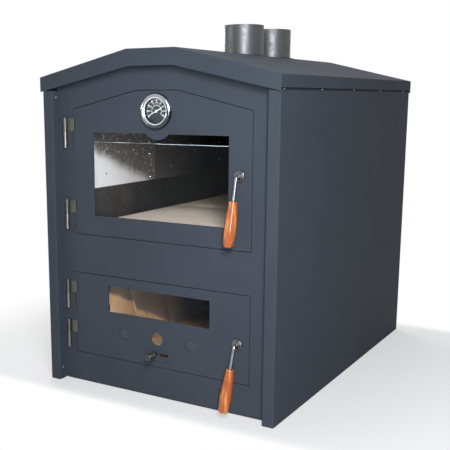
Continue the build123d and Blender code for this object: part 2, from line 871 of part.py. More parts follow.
def upper_door_plate():
    """Gabled door sheet with its window, thermometer hole and latch hole."""
    door = slab(upper_outline, plate_y, door_back_y) - upper_window() - latch_hole(upper_latch_height)
    neck_hole = gauge_neck_radius + gauge_neck_hole_clearance
    door -= bar_y(0, gauge_height, neck_hole, plate_y - cut_margin, door_back_y + cut_margin)
    return door - clip_screw_holes(upper_clip_places())


def lower_door_plate():
    """Fire door sheet with its window, three air holes, knob slot and latch hole."""
    y0, y1 = plate_y - cut_margin, door_back_y + cut_margin
    door = slab(lower_outline, plate_y, door_back_y) - latch_hole(lower_latch_height)
    door -= block(-lower_window_left, lower_window_right, y0, y1, lower_window_bottom, lower_window_top)
    for i in (-1, 0, 1):
        door -= bar_y(air_hole_x + i * air_hole_pitch, air_hole_height, air_hole_radius, y0, y1)
    slot_radius = knob_stem_radius + knob_slot_clearance
    slot_end = knob_x + slide_travel
    door -= block(knob_x, slot_end, y0, y1, knob_height - slot_radius, knob_height + slot_radius)
    for x in (knob_x, slot_end):
        door -= bar_y(x, knob_height, slot_radius, y0, y1)
    return door - clip_screw_holes(lower_clip_places())


# Door glass, tape and clips
upper_glass_outline = box_outline(upper_window_left + glass_overlap, upper_window_right + glass_overlap,
                                  upper_window_bottom - glass_overlap, upper_glass_top)
lower_glass_outline = grown(box_outline(lower_window_left, lower_window_right,
                                        lower_window_bottom, lower_window_top), lower_glass_overlap)


def door_glass(outline):
    """Heat-proof glass pane behind a window."""
    return slab(outline, glass_y, glass_back_y)


def upper_glass_tape():
    """Fibre tape between the upper glass and the door, on the three covered edges."""
    left, right = upper_window_left + glass_overlap, upper_window_right + glass_overlap
    bottom = upper_window_bottom - glass_overlap
    tape = block(-left, right, door_back_y, glass_y, bottom, upper_glass_top)
    return tape - block(-left + glass_tape_width, right - glass_tape_width, door_back_y - cut_margin,
                        glass_y + cut_margin, bottom + glass_tape_width, upper_glass_top + cut_margin)


def lower_glass_tape():
    """Fibre tape between the lower glass and the door, on all four edges."""
    return rim(lower_glass_outline, 0, -glass_tape_width, door_back_y, glass_y)


def clip_places(outline, heights):
    """Edge of the glass, side and height of each clip."""
    left = outline[0][0]
    right = outline[1][0]
    return [(x, side, z) for z in heights for x, side in ((left, -1), (right, 1))]


def upper_clip_places():
    """Clips of the upper glass."""
    heights = (upper_window_bottom + clip_width, upper_glass_top - 2 * clip_width)
    return clip_places(upper_glass_outline, heights)


def lower_clip_places():
    """Clips of the lower glass."""
    heights = (lower_window_bottom + clip_width / 2, lower_window_top - clip_width / 2)
    return clip_places(lower_glass_outline, heights)


def clip_screw_x(x, side):
    """Middle of a clip's foot."""
    return x + side * (clip_thickness + wall_gap + clip_foot / 2)


def glass_clip(x, side, z):
    """Folded clip with its foot on the door and its lip on the glass."""
    near = x + side * wall_gap
    wall = near + side * clip_thickness
    foot_end = wall + side * clip_foot
    lip_end = x - side * clip_lap
    foot_y = door_back_y + clip_thickness
    lip_y = glass_back_y + clip_thickness
    z0, z1 = z - clip_width / 2, z + clip_width / 2
    foot = block(min(near, foot_end), max(near, foot_end), door_back_y, foot_y, z0, z1)
    riser = block(min(near, wall), max(near, wall), door_back_y, lip_y, z0, z1)
    lip = block(min(lip_end, wall), max(lip_end, wall), glass_back_y, lip_y, z0, z1)
    hole = bar_y(clip_screw_x(x, side), z, clip_screw_radius, door_back_y - cut_margin, foot_y + cut_margin)
    return foot + riser + lip - hole


def clip_screw(x, side, z):
    """Screw through a clip's foot into the door."""
    seat = door_back_y + clip_thickness
    centre = clip_screw_x(x, side)
    head = bar_y(centre, z, clip_screw_head_radius, seat, seat + clip_screw_head_height)
    return head + bar_y(centre, z, clip_screw_radius, door_back_y - clip_screw_depth, seat)


def clip_screw_holes(places):
    """Blind holes for the clip screws, from the back of a door."""
    return [bar_y(clip_screw_x(x, side), z, clip_screw_radius, door_back_y - clip_screw_depth,
                  door_back_y + cut_margin) for x, side, z in places]


# Door seals
def seal_channel(outline):
    """Folded channel on the back of a door that holds the rope seal."""
    outer = -seal_edge_inset + channel_wall
    inner = -seal_edge_inset - seal_width - channel_wall
    channel = rim(outline, outer, inner, door_back_y, door_back_y + channel_depth)
    groove = rim(outline, -seal_edge_inset, -seal_edge_inset - seal_width, door_back_y + channel_wall,
                 door_back_y + channel_depth + cut_margin)
    return channel - groove


def rope_seal(outline):
    """Square fibre rope in a door's channel, just clear of the mouth frame when the door is shut."""
    return rim(outline, -seal_edge_inset, -seal_edge_inset - seal_width, door_back_y + channel_wall,
               frame_y - seal_clearance)


# Thermometer
def gauge_case():
    """Shallow steel cup on the door with a threaded neck through it."""
    cup = bar_y(0, gauge_height, gauge_case_radius, plate_y - gauge_case_depth, plate_y)
    cup -= bar_y(0, gauge_height, gauge_case_radius - gauge_case_wall,
                 plate_y - gauge_case_depth - cut_margin, plate_y - gauge_case_wall)
    neck = bar_y(0, gauge_height, gauge_neck_radius, plate_y, door_back_y + gauge_neck_length)
    bore = bar_y(0, gauge_height, gauge_probe_radius, plate_y + gauge_case_wall,
                 door_back_y + gauge_neck_length + cut_margin)
    return cup + neck - bore


def gauge_bezel():
    """Rolled chrome ring round the dial."""
    case = gauge_case_radius + gauge_bezel_clearance
    land = case - gauge_bezel_inset
    face = gauge_case_depth
    points = [(case, gauge_bezel_start), (gauge_bezel_radius - gauge_bezel_hem, gauge_bezel_start),
              (gauge_bezel_radius, gauge_bezel_shoulder), (gauge_bezel_radius - gauge_bezel_draft, face),
              (land, gauge_bezel_crown - gauge_bezel_rise), (land - gauge_bezel_land, gauge_bezel_crown),
              (gauge_dial_opening, face + gauge_bezel_edge), (gauge_dial_opening, face), (case, face)]
    ring = revolve(make_face(Polyline(*[(r, -h, 0) for r, h in points], close=True)), axis=Axis.Y)
    return Pos(0, plate_y, gauge_height) * ring


def gauge_dial():
    """Thin round dial on the floor of the case."""
    near = plate_y - gauge_case_wall
    radius = gauge_case_radius - gauge_case_wall - gauge_lens_clearance
    dial = bar_y(0, gauge_height, radius, near - gauge_dial_thickness, near)
    return dial - bar_y(0, gauge_height, needle_arbor_radius + needle_arbor_clearance,
                        near - gauge_dial_thickness - cut_margin, near + cut_margin)


def gauge_lens():
    """Flat glass in front of the dial."""
    front = plate_y - gauge_case_depth
    radius = gauge_case_radius - gauge_case_wall - gauge_lens_clearance
    return bar_y(0, gauge_height, radius, front, front + gauge_lens_thickness)


def gauge_needle():
    """Tapered needle on its arbor, pointing at the cold end of the scale."""
    arbor = bar_y(0, 0, needle_arbor_radius, plate_y - needle_standoff - 2 * needle_thickness,
                  plate_y - gauge_case_wall - wall_gap)
    hub = bar_y(0, 0, 2 * needle_arbor_radius, plate_y - needle_standoff - needle_thickness,
                plate_y - needle_standoff)
    wide, tip = needle_width / 2, needle_tip_width / 2
    outline = [(-wide, -needle_tail), (wide, -needle_tail), (wide, 0),
               (tip, needle_length), (-tip, needle_length), (-wide, 0)]
    blade = slab(outline, plate_y - needle_standoff - needle_thickness, plate_y - needle_standoff)
    return Pos(0, 0, gauge_height) * Rot(0, needle_rest_angle, 0) * (arbor + hub + blade)


def gauge_probe():
    """Sensing tube that reaches into the baking chamber."""
    tip_y = door_back_y + gauge_probe_reach
    return bar_y(0, gauge_height, gauge_probe_radius, plate_y + gauge_case_wall, tip_y)


def hex_nut(x, z, radius, bore, y0, y1):
    """Hexagon nut along Y."""
    prism = extrude(Plane((x, y0, z), z_dir=(0, 1, 0)) * RegularPolygon(radius, 6), amount=y1 - y0)
    return prism - bar_y(x, z, bore, y0 - cut_margin, y1 + cut_margin)


def gauge_nut():
    """Nut on the thermometer's neck, behind the door."""
    return hex_nut(0, gauge_height, gauge_nut_radius, gauge_neck_radius, door_back_y,
                   door_back_y + gauge_nut_thickness)


# Latches
def lever_direction(lean):
    """Unit vector from the lever's bend to the end of its grip."""
    tilt = math.radians(lever_tilt)
    out = math.radians(lean)
    return Vector(-math.sin(tilt) * math.cos(out), -math.sin(out), -math.cos(tilt) * math.cos(out))


def latch_lever(z, lean):
    """Round rod: spindle through the door, one bend, and the stem of the grip."""
    tail_y = cam_y + cam_thickness + cam_nut_thickness + spindle_tail
    start = Vector(latch_x, tail_y, z)
    corner = Vector(latch_x, plate_y - lever_standoff, z)
    end = corner + lever_direction(lean) * (grip_start + grip_rod_depth)
    path = FilletPolyline(start, corner, end, radius=lever_bend_radius)
    return sweep(Plane(start, z_dir=(0, -1, 0)) * Circle(lever_rod_radius), path=path)


def latch_grip(z, lean):
    """Turned wooden grip, fullest below its middle, with a blind bore for the rod."""
    belly = grip_length * grip_belly_share
    side = Spline((grip_top_radius, 0), (grip_belly_radius, belly), (grip_end_radius, grip_length))
    outline = [Line((0, grip_length), (0, 0)), Line((0, 0), (grip_top_radius, 0)), side,
               Line((grip_end_radius, grip_length), (0, grip_length))]
    body = revolve(make_face(outline), axis=Axis.Y)
    ends = body.edges().filter_by(GeomType.CIRCLE).sort_by(Axis.Y)
    body = fillet([ends[0], ends[-1]], grip_edge_radius)
    body -= Rot(90, 0, 0) * Pos(0, 0, -grip_rod_depth / 2) * Cylinder(lever_rod_radius, grip_rod_depth)
    corner = Vector(latch_x, plate_y - lever_standoff, z)
    direction = lever_direction(lean)
    seat = Plane(corner + direction * grip_start, x_dir=(0, -1, 0), z_dir=direction)
    return seat.location * Rot(90, 0, 0) * body


def latch_bush(z):
    """Stepped bush through the door that carries a latch spindle."""
    flange = bar_y(latch_x, z, bush_radius, plate_y - bush_face_height, plate_y)
    flange = fillet(flange.edges().sort_by(Axis.Y)[0], bush_edge_radius)
    neck = bar_y(latch_x, z, bush_neck_radius, plate_y - bush_neck_height, plate_y - bush_face_height)
    sleeve = bar_y(latch_x, z, bush_sleeve_radius, plate_y, cam_y - cam_clearance / 2)
    bore = bar_y(latch_x, z, lever_rod_radius + latch_running_clearance,
                 plate_y - bush_neck_height - cut_margin, cam_y)
    return flange + neck + sleeve - bore


def latch_cam(z):
    """Cam on the spindle: its nose stands up when the lever hangs down."""
    y1 = cam_y + cam_thickness
    hub = bar_y(latch_x, z, cam_hub_radius, cam_y, y1)
    half = cam_width / 2
    arm = block(-half, half, cam_y, y1, 0, cam_reach - half) + bar_y(0, cam_reach - half, half, cam_y, y1)
    turned = Pos(latch_x, 0, z) * Rot(0, lever_tilt, 0) * arm
    return hub + turned - bar_y(latch_x, z, lever_rod_radius, cam_y - cut_margin, y1 + cut_margin)


def latch_nut(z):
    """Nut that holds the cam on the spindle."""
    y0 = cam_y + cam_thickness
    return hex_nut(latch_x, z, cam_nut_radius, lever_rod_radius, y0, y0 + cam_nut_thickness)


# Air slide
def slide_reach():
    """Left and right ends of the slide at rest."""
    reach = air_hole_pitch + air_hole_radius + slide_end_margin
    return air_hole_x - reach - slide_travel, air_hole_x + reach


def air_slide():
    """Plate behind the fire door: the middle air hole stays open, the outer two open as it moves right."""
    left, right = slide_reach()
    y1 = slide_y + slide_thickness
    low, high = air_hole_height - slide_half_height, air_hole_height + slide_half_height
    plate = block(left, right, slide_y, y1, low, high)
    plate += block(knob_x - slide_tab_half_width, knob_x + slide_tab_half_width, slide_y, y1,
                   knob_height - tab_drop, low)
    tool = (slide_y - cut_margin, y1 + cut_margin)
    shut_x = air_hole_x - slide_travel
    for x in (shut_x - air_hole_pitch, shut_x, air_hole_x, shut_x + air_hole_pitch):
        plate -= bar_y(x, air_hole_height, air_hole_radius, *tool)
    plate -= block(shut_x, air_hole_x, *tool,
                   air_hole_height - air_hole_radius, air_hole_height + air_hole_radius)
    return plate - bar_y(knob_x, knob_height, knob_stem_radius, *tool)


def slide_knob():
    """Grooved pull knob on a stem through the door's slot."""
    front = plate_y - knob_standoff
    stem = bar_y(knob_x, knob_height, knob_stem_radius, front, slide_y + slide_thickness)
    knob = bar_y(knob_x, knob_height, knob_radius, front - knob_length, front)
    knob = fillet(knob.edges().sort_by(Axis.Y)[0], knob_edge_radius)
    step = knob_length / (knob_groove_count + 1)
    core = knob_radius - knob_groove_depth
    half_groove = knob_groove_width / 2
    for i in range(knob_groove_count):
        y = front - (i + 1) * step
        groove = bar_y(knob_x, knob_height, knob_radius + cut_margin, y - half_groove, y + half_groove)
        knob -= groove - bar_y(knob_x, knob_height, core, y - knob_groove_width, y + knob_groove_width)
    return stem + knob


def guide(x0, x1, edge, away):
    """Folded rail on the door that an edge of the slide runs behind; away is +1 above it, -1 below."""
    gap_y = slide_y + slide_thickness + slide_clearance
    inner = edge + away * slide_clearance
    foot_near = inner + away * guide_sheet
    foot_far = foot_near + away * guide_foot
    lap = edge - away * guide_lap
    lip_y = gap_y + guide_sheet
    foot_y = door_back_y + guide_sheet
    wall = block(x0, x1, door_back_y, lip_y, min(inner, foot_near), max(inner, foot_near))
    lip = block(x0, x1, gap_y, lip_y, min(lap, foot_near), max(lap, foot_near))
    foot = block(x0, x1, door_back_y, foot_y, min(inner, foot_far), max(inner, foot_far))
    return wall + lip + foot


def slide_guides():
    """One long rail above the slide and two short ones below it, either side of the knob's tab."""
    left, right = slide_reach()
    right += slide_travel
    top = air_hole_height + slide_half_height
    low = air_hole_height - slide_half_height
    tab = slide_tab_half_width + guide_end_gap
    return [guide(left, right, top, 1), guide(left, knob_x - tab, low, -1),
            guide(knob_x + slide_travel + tab, right, low, -1)]


NODES = {
    "left_side_panel": side_panel(),
    "right_side_panel": mirror(side_panel(), about=Plane.YZ),
    "hood": hood(),
    "hood_edges": [hood_edge(hood_front), hood_edge(hood_rear - hood_sheet)],
    "front_plate": front_plate(),
    "back_panel": back_panel(),
    "base_plate": base_plate(),
    "casing_screws": casing_screws(),
    "smoke_jacket": smoke_jacket(),
    "mouth_frame": mouth_frame(),
    "baking_chamber": baking_chamber(),
    "chamber_support": chamber_support(),
    "hearth_slabs": hearth_slabs(),
    "side_liners": side_liners(),
    "liner_rivets": liner_rivets(),
    "floor_bricks": floor_bricks(),
    "side_bricks": side_bricks(),
    "back_bricks": back_bricks(),
    "insulation": insulation(),
    "smoke_flue": smoke_flue(),
    "vent_flue": vent_flue(),
    "flue_rings": flue_rings(),
    "frame_hinge_halves": [frame_hinge(x, z) for x, z in hinge_places()],
    "hinge_pins": [hinge_pin(x, z) for x, z in hinge_places()],
    "upper_door_plate": upper_door_plate(),
    "upper_door_glass": door_glass(upper_glass_outline),
    "upper_glass_tape": upper_glass_tape(),
    "upper_glass_clips": [glass_clip(*place) for place in upper_clip_places()],
    "upper_clip_screws": [clip_screw(*place) for place in upper_clip_places()],
    "upper_seal_channel": seal_channel(upper_outline),
    "upper_rope_seal": rope_seal(upper_outline),
    "upper_hinge_leaves": [door_hinge(upper_hinge_x, z) for z in upper_hinge_bottoms],
    "upper_latch_bush": latch_bush(upper_latch_height),
    "gauge_case": gauge_case(),
    "gauge_bezel": gauge_bezel(),
    "gauge_dial": gauge_dial(),
    "gauge_lens": gauge_lens(),
    "gauge_probe": gauge_probe(),
    "gauge_nut": gauge_nut(),
    "gauge_needle": gauge_needle(),
    "upper_latch_lever": latch_lever(upper_latch_height, upper_lever_lean),
    "upper_latch_grip": latch_grip(upper_latch_height, upper_lever_lean),
    "upper_latch_cam": latch_cam(upper_latch_height),
    "upper_latch_nut": latch_nut(upper_latch_height),
    "lower_door_plate": lower_door_plate(),
    "lower_door_glass": door_glass(lower_glass_outline),
    "lower_glass_tape": lower_glass_tape(),
    "lower_glass_clips": [glass_clip(*place) for place in lower_clip_places()],
    "lower_clip_screws": [clip_screw(*place) for place in lower_clip_places()],
    "lower_seal_channel": seal_channel(lower_outline),
    "lower_rope_seal": rope_seal(lower_outline),
    "lower_hinge_leaves": [door_hinge(lower_hinge_x, z) for z in lower_hinge_bottoms],
    "lower_latch_bush": latch_bush(lower_latch_height),
    "slide_guides": slide_guides(),
    "lower_latch_lever": latch_lever(lower_latch_height, lower_lever_lean),
    "lower_latch_grip": latch_grip(lower_latch_height, lower_lever_lean),
    "lower_latch_cam": latch_cam(lower_latch_height),
    "lower_latch_nut": latch_nut(lower_latch_height),
    "air_slide": air_slide(),
    "slide_knob": slide_knob(),
}

os.makedirs("parts", exist_ok=True)
for name, shape in NODES.items():
    solids = shape if isinstance(shape, list) else [shape]
    node = Compound(children=[solid for piece in solids for solid in piece.solids()])
    node.label = name
    export_step(node, f"parts/{name}.step")
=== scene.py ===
import json
import logging
import math
from contextlib import contextmanager
from dataclasses import dataclass, field, replace
from enum import Enum
from typing import Callable, ClassVar, Iterator, Sequence

import bpy
from mathutils import Euler, Matrix, Vector

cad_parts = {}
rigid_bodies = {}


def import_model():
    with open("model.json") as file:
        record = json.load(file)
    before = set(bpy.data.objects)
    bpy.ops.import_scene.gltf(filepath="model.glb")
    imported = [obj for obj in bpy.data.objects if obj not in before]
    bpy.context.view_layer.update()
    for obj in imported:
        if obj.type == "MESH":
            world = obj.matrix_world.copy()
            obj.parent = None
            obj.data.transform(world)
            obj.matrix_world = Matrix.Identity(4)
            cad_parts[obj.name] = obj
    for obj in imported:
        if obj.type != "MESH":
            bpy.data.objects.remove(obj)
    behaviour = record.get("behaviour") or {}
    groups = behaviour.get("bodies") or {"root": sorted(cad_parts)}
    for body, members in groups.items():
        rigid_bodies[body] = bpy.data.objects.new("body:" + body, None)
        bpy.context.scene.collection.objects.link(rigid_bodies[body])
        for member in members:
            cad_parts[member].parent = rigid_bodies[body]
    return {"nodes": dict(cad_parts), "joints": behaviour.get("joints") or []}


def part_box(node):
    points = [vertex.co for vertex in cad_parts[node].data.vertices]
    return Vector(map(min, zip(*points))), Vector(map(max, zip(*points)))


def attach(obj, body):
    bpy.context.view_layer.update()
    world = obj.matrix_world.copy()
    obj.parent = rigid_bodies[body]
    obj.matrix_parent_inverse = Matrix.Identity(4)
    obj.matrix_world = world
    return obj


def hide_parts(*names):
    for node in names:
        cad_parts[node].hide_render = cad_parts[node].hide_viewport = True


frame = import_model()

LOG = logging.getLogger("oven")
MM = 0.001
WELD_DISTANCE = 0.002 * MM
FLAT_ANGLE = math.radians(0.5)
FOLD_ANGLE = math.radians(5.0)
SHARP_ANGLE = math.radians(35.0)
NOISE_ROUGHNESS = 0.55
EDGE_BEND = (0.985, 0.80)
Colour = tuple[float, float, float]
Place = tuple[float, float, float]
EVEN: Place = (1.0, 1.0, 1.0)
WHITE = (1.0, 1.0, 1.0, 1.0)
SIDES = (-1.0, 1.0)
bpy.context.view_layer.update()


class Pick(Enum):
    """What a selection in edit mode is made of."""

    VERTEX = (True, False, False)
    EDGE = (False, True, False)
    FACE = (False, False, True)


class Grain(Enum):
    """Which way the brush marks run on a metal."""

    NONE = EVEN
    ALONG_X = (0.02, 1.0, 1.0)
    ALONG_Y = (1.0, 0.02, 1.0)
    ALONG_Z = (1.0, 1.0, 0.02)
    ROUND_Z = (0.02, 0.02, 1.0)
    ROUND_Y = (0.02, 1.0, 0.02)


def arithmetic(operation: str, swapped: bool = False) -> Callable[..., "Wire"]:
    """A method that adds one Math node.

    Args:
        operation: What the node works out.
        swapped: Whether the other value comes first.

    Returns:
        The method, which gives the wire of the result.
    """
    def method(self: "Wire", *others: "Wire | float") -> "Wire":
        """Wire of the result."""
        values = (*others, self) if swapped else (self, *others)
        return self.graph.wire("Math", 0, dict(enumerate(values)), operation=operation)

    return method


class Wire:
    """An output socket that takes part in arithmetic."""

    __add__, __radd__ = arithmetic("ADD"), arithmetic("ADD", swapped=True)
    __sub__, __rsub__ = arithmetic("SUBTRACT"), arithmetic("SUBTRACT", swapped=True)
    __mul__, __rmul__ = arithmetic("MULTIPLY"), arithmetic("MULTIPLY", swapped=True)
    __truediv__ = arithmetic("DIVIDE")
    __pow__, __abs__ = arithmetic("POWER"), arithmetic("ABSOLUTE")
    sine, at_least = arithmetic("SINE"), arithmetic("MAXIMUM")

    def __init__(self, graph: "Graph", socket: bpy.types.NodeSocket) -> None:
        """Keep the socket and the graph it belongs to."""
        self.graph = graph
        self.socket = socket

    def swing(self, amount: float) -> "Wire":
        """The pattern, shifted to lie round zero, times an amount."""
        return (self - 0.5) * amount

    def step(self, low: float, high: float) -> "Wire":
        """Smooth rise from 0 at low to 1 at high, which may be the smaller of the two."""
        return self.graph.wire("MapRange", 0, {0: self, 1: low, 2: high, 3: 0.0, 4: 1.0},
                               interpolation_type="SMOOTHSTEP")


class Graph:
    """A node tree that is wired by socket names."""

    def __init__(self, tree: bpy.types.NodeTree) -> None:
        """Keep the tree."""
        self.tree = tree

    def plug(self, value: object, socket: bpy.types.NodeSocket) -> None:
        """Link a wire to a socket, or set the socket's own value.

        Args:
            value: The wire or the value.
            socket: The socket.
        """
        if isinstance(value, Wire):
            self.tree.links.new(value.socket, socket)
        else:
            socket.default_value = value

    def node(self, kind: str, inputs: dict[str | int, object] | None = None,
             **settings: object) -> bpy.types.Node:
        """Add one node.

        Args:
            kind: The node's type, without ShaderNode in front.
            inputs: Values, or wires from other nodes, by socket name or number.
            **settings: Properties, set before the sockets.

        Returns:
            The new node.
        """
        made = self.tree.nodes.new("ShaderNode" + kind)
        for key, value in settings.items():
            setattr(made, key, value)
        for key, value in (inputs or {}).items():
            self.plug(value, made.inputs[key])
        return made

    def wire(self, kind: str, output: str | int,
             inputs: dict[str | int, object] | None = None, **settings: object) -> Wire:
        """One output, by name or number, of a new node that is made as in node."""
        return Wire(self, self.node(kind, inputs, **settings).outputs[output])

    def direct(self) -> Wire:
        """Tell the rays that the camera, gloss or glass sends out from all others.

        Returns:
            One on such rays, zero on the others.
        """
        path = self.node("LightPath")
        camera, gloss, glass = (Wire(self, path.outputs[f"Is {kind} Ray"])
                                for kind in ("Camera", "Glossy", "Transmission"))
        return camera.at_least(gloss).at_least(glass)

    def blend(self, share: Wire, first: Wire, second: Wire, output: str) -> None:
        """Send a blend of two shaders, with a share of the second, to the named output node."""
        both = self.wire("MixShader", 0, {0: share, 1: first, 2: second})
        self.plug(both, self.tree.nodes[output].inputs[0])


class Shader(Graph):
    """Node tree of one material, round its surface node."""

    def __init__(self, name: str) -> None:
        """Make the material.

        Args:
            name: The material's name.
        """
        self.material = bpy.data.materials.new(name)
        self.material.use_nodes = True
        super().__init__(self.material.node_tree)
        self.bsdf = self.tree.nodes["Principled BSDF"]
        self.place = self.wire("TexCoord", "Object")

    def axis(self, index: int) -> Wire:
        """One object coordinate, in metres."""
        return self.wire("SeparateXYZ", index, {0: self.place})

    def cells(self, size: float, stretch: Place, shift: float = 0.0) -> Wire:
        """Object coordinates counted in cells.

        Args:
            size: Width of one cell in millimetres.
            stretch: Share of the frequency kept along each axis; small values draw it out.
            shift: Offset in cells, for a second pattern that differs from the first.

        Returns:
            The coordinates.
        """
        scale = [share / (size * MM) for share in stretch]
        return self.wire("Mapping", 0, {"Vector": self.place, "Scale": scale,
                                        "Location": (shift, shift, shift)})

    def noise(self, size: float, detail: float = 2.0, stretch: Place = EVEN,
              shift: float = 0.0) -> Wire:
        """Soft random pattern.

        Args:
            size: Width of one cell in millimetres.
            detail: How many finer layers lie on it.
            stretch: Share of the frequency kept along each axis.
            shift: Offset in cells, for a second pattern that differs from the first.

        Returns:
            A value round 0.5.
        """
        cells = self.cells(size, stretch, shift)
        return self.wire("TexNoise", 0, {"Vector": cells, "Scale": 1.0, "Detail": detail,
                                         "Roughness": NOISE_ROUGHNESS})

    def specks(self, size: float, reach: float) -> Wire:
        """Round specks, one in each cell of a size in millimetres, reaching over a share of it."""
        cells = {"Vector": self.cells(size, EVEN), "Scale": 1.0}
        return self.wire("TexVoronoi", "Distance", cells).step(reach, reach * 0.4)

    def edge(self, radius: float) -> Wire:
        """Mask of the sharp edges, for wear.

        Args:
            radius: How far the wear reaches from an edge, in millimetres.

        Returns:
            Zero on flat surfaces, up to one at edges.
        """
        soft = self.wire("Bevel", 0, {"Radius": radius * MM}, samples=4)
        flat = self.wire("NewGeometry", "Normal")
        alike = self.wire("VectorMath", "Value", {0: soft, 1: flat}, operation="DOT_PRODUCT")
        return alike.step(*EDGE_BEND)

    def mix(self, share: Wire, first: "Wire | Colour", second: "Wire | Colour") -> Wire:
        """Blend of two colours.

        Args:
            share: Share of the second colour.
            first: First colour.
            second: Second colour.

        Returns:
            The blended colour.
        """
        ends = [value if isinstance(value, Wire) else (*value, 1.0) for value in (first, second)]
        return self.wire("Mix", 2, {0: share, 6: ends[0], 7: ends[1]}, data_type="RGBA",
                         clamp_factor=True)

    def layered(self, tone: "Wire | Colour", *layers: tuple[Wire, "Wire | Colour"]) -> Wire:
        """Colours laid over one another.

        Args:
            tone: The lowest colour.
            *layers: Share and colour of each further one.

        Returns:
            The colour that shows.
        """
        for share, colour in layers:
            tone = self.mix(share, tone, colour)
        return tone

    def feed(self, **sockets: object) -> None:
        """Set or link the surface's sockets.

        Args:
            **sockets: Values or wires by socket name; an underscore stands for a space.
        """
        for key, value in sockets.items():
            value = (*value, 1.0) if isinstance(value, tuple) else value
            self.plug(value, self.bsdf.inputs[key.replace("_", " ")])

    def relief(self, height: Wire, depth: float, strength: float) -> None:
        """Bump from a pattern of 0 to 1, with the depth of a full step in millimetres."""
        self.feed(Normal=self.wire("Bump", 0, {"Height": height, "Distance": depth * MM,
                                               "Strength": strength}))


def tinted(colour: Colour, factor: float, lift: float = 0.0) -> Colour:
    """A colour made darker or lighter, with no channel above one."""
    return tuple(min(1.0, channel * factor + lift) for channel in colour)


@dataclass(frozen=True)
class Finish:
    """A surface finish; each named one is made into a material once."""

    name: str
    colour: Colour
    made: ClassVar[dict[str, bpy.types.Material]] = {}

    def tint(self, factor: float, lift: float = 0.0) -> Colour:
        """The finish's own colour, darker or lighter."""
        return tinted(self.colour, factor, lift)

    def shade(self, shader: Shader) -> None:
        """Wire the finish."""
        shader.feed(Base_Color=self.colour)

    def material(self) -> bpy.types.Material:
        """Find the material, or make it when it is first asked for.

        Returns:
            The material.
        """
        if self.name not in self.made:
            shader = Shader(self.name)
            self.shade(shader)
            self.made[self.name] = shader.material
        return self.made[self.name]


@dataclass(frozen=True)
class PowderCoat(Finish):
    """Fine-texture powder coat on sheet steel."""

    roughness: float = 0.6
    grain: float = 1.1
    wear: float = 0.35
    gloss: float = 0.035

    def shade(self, shader: Shader) -> None:
        """Fine grain, faint clouds and a little rubbing at the edges.

        Args:
            shader: The material's shader.
        """
        grain = shader.noise(self.grain)
        cloud = shader.noise(160.0, 3.0)
        dust = shader.noise(22.0, 4.0, shift=3.0)
        rubbed = shader.edge(1.0) * dust.step(0.45, 0.75) * self.wear
        tone = shader.layered(
            self.tint(0.90), (cloud.swing(1.4) + grain.swing(0.9) + 0.5, self.tint(1.10)),
            (rubbed, self.tint(2.4, 0.02)))
        shader.feed(Base_Color=tone, Roughness=self.roughness + dust.swing(0.14) - rubbed * 0.2,
                    Specular_IOR_Level=self.gloss)
        shader.relief(grain, 0.05, 0.6)


@dataclass(frozen=True)
class Metal(Finish):
    """Bare or plated steel, brushed, turned or polished."""

    roughness: float = 0.3
    brush: Grain = Grain.NONE
    scratch: float = 0.10
    depth: float = 0.006
    stain: Colour = (0.3, 0.3, 0.3)
    stained: float = 0.25

    def shade(self, shader: Shader) -> None:
        """Brush marks along one direction, handling marks and dull patches.

        Args:
            shader: The material's shader.
        """
        marks = shader.noise(0.9, stretch=self.brush.value)
        fine = shader.noise(3.0, 3.0, shift=9.0)
        dull = shader.noise(18.0, 4.0, shift=5.0).step(0.46, 0.70)
        tone = shader.layered(self.colour, (dull * self.stained, self.stain),
                              (marks.swing(0.5) + 0.25, self.tint(0.8)))
        rough = self.roughness + marks.swing(self.scratch * 2.0) + dull * 0.12 + fine.swing(0.06)
        shader.feed(Base_Color=tone, Metallic=1.0, Roughness=rough)
        shader.relief(marks * 0.7 + fine * 0.3, self.depth, 0.5)


@dataclass(frozen=True)
class Bezel(Metal):
    """Chrome ring with painted reflections: bright lip, glint, and dark towards the lower right."""

    middle: tuple[float, float] = (0.0, 0.651)
    lip: float = 30.2
    # Colours of the painted reflections: dark towards the lower right, a glint, and a bright lip.
    dark_reflection: Colour = (0.045, 0.050, 0.062)
    glint: Colour = (0.95, 0.96, 1.0)
    lip_highlight: Colour = (0.80, 0.86, 0.92)

    def shade(self, shader: Shader) -> None:
        """Radial bands of painted reflection round the ring's middle, with fine polishing marks.

        Args:
            shader: The material's shader.
        """
        across = shader.axis(0) - self.middle[0]
        up = shader.axis(2) - self.middle[1]
        reach = (across * across + up * up) ** 0.5
        marks = shader.noise(0.9)

        def band(low: float, high: float) -> Wire:
            """Rise between two distances from the lip, in millimetres."""
            return reach.step((self.lip + low) * MM, (self.lip + high) * MM)

        # Painted dark reflection towards the lower right and on the crown, a painted glint to the
        # right, and a painted bright lip.
        lean = (across * 0.62 - up * 0.78) / reach + shader.noise(9.0, 3.0).swing(0.9)
        right = ((across * 0.92 + up * 0.38) / reach).step(0.90, 0.985)
        tone = shader.layered(
            self.colour, (lean.step(-0.35, 0.75) * 0.9, self.dark_reflection),
            (band(7.2, 8.3) * lean.step(-0.6, 0.2) * 0.9, self.dark_reflection),
            (right * band(3.5, 5.5), self.glint), (band(0.1, -0.9), self.lip_highlight))
        shader.feed(Base_Color=tone, Metallic=1.0,
                    Roughness=self.roughness + marks.swing(self.scratch))
        shader.relief(marks, self.depth, 0.5)


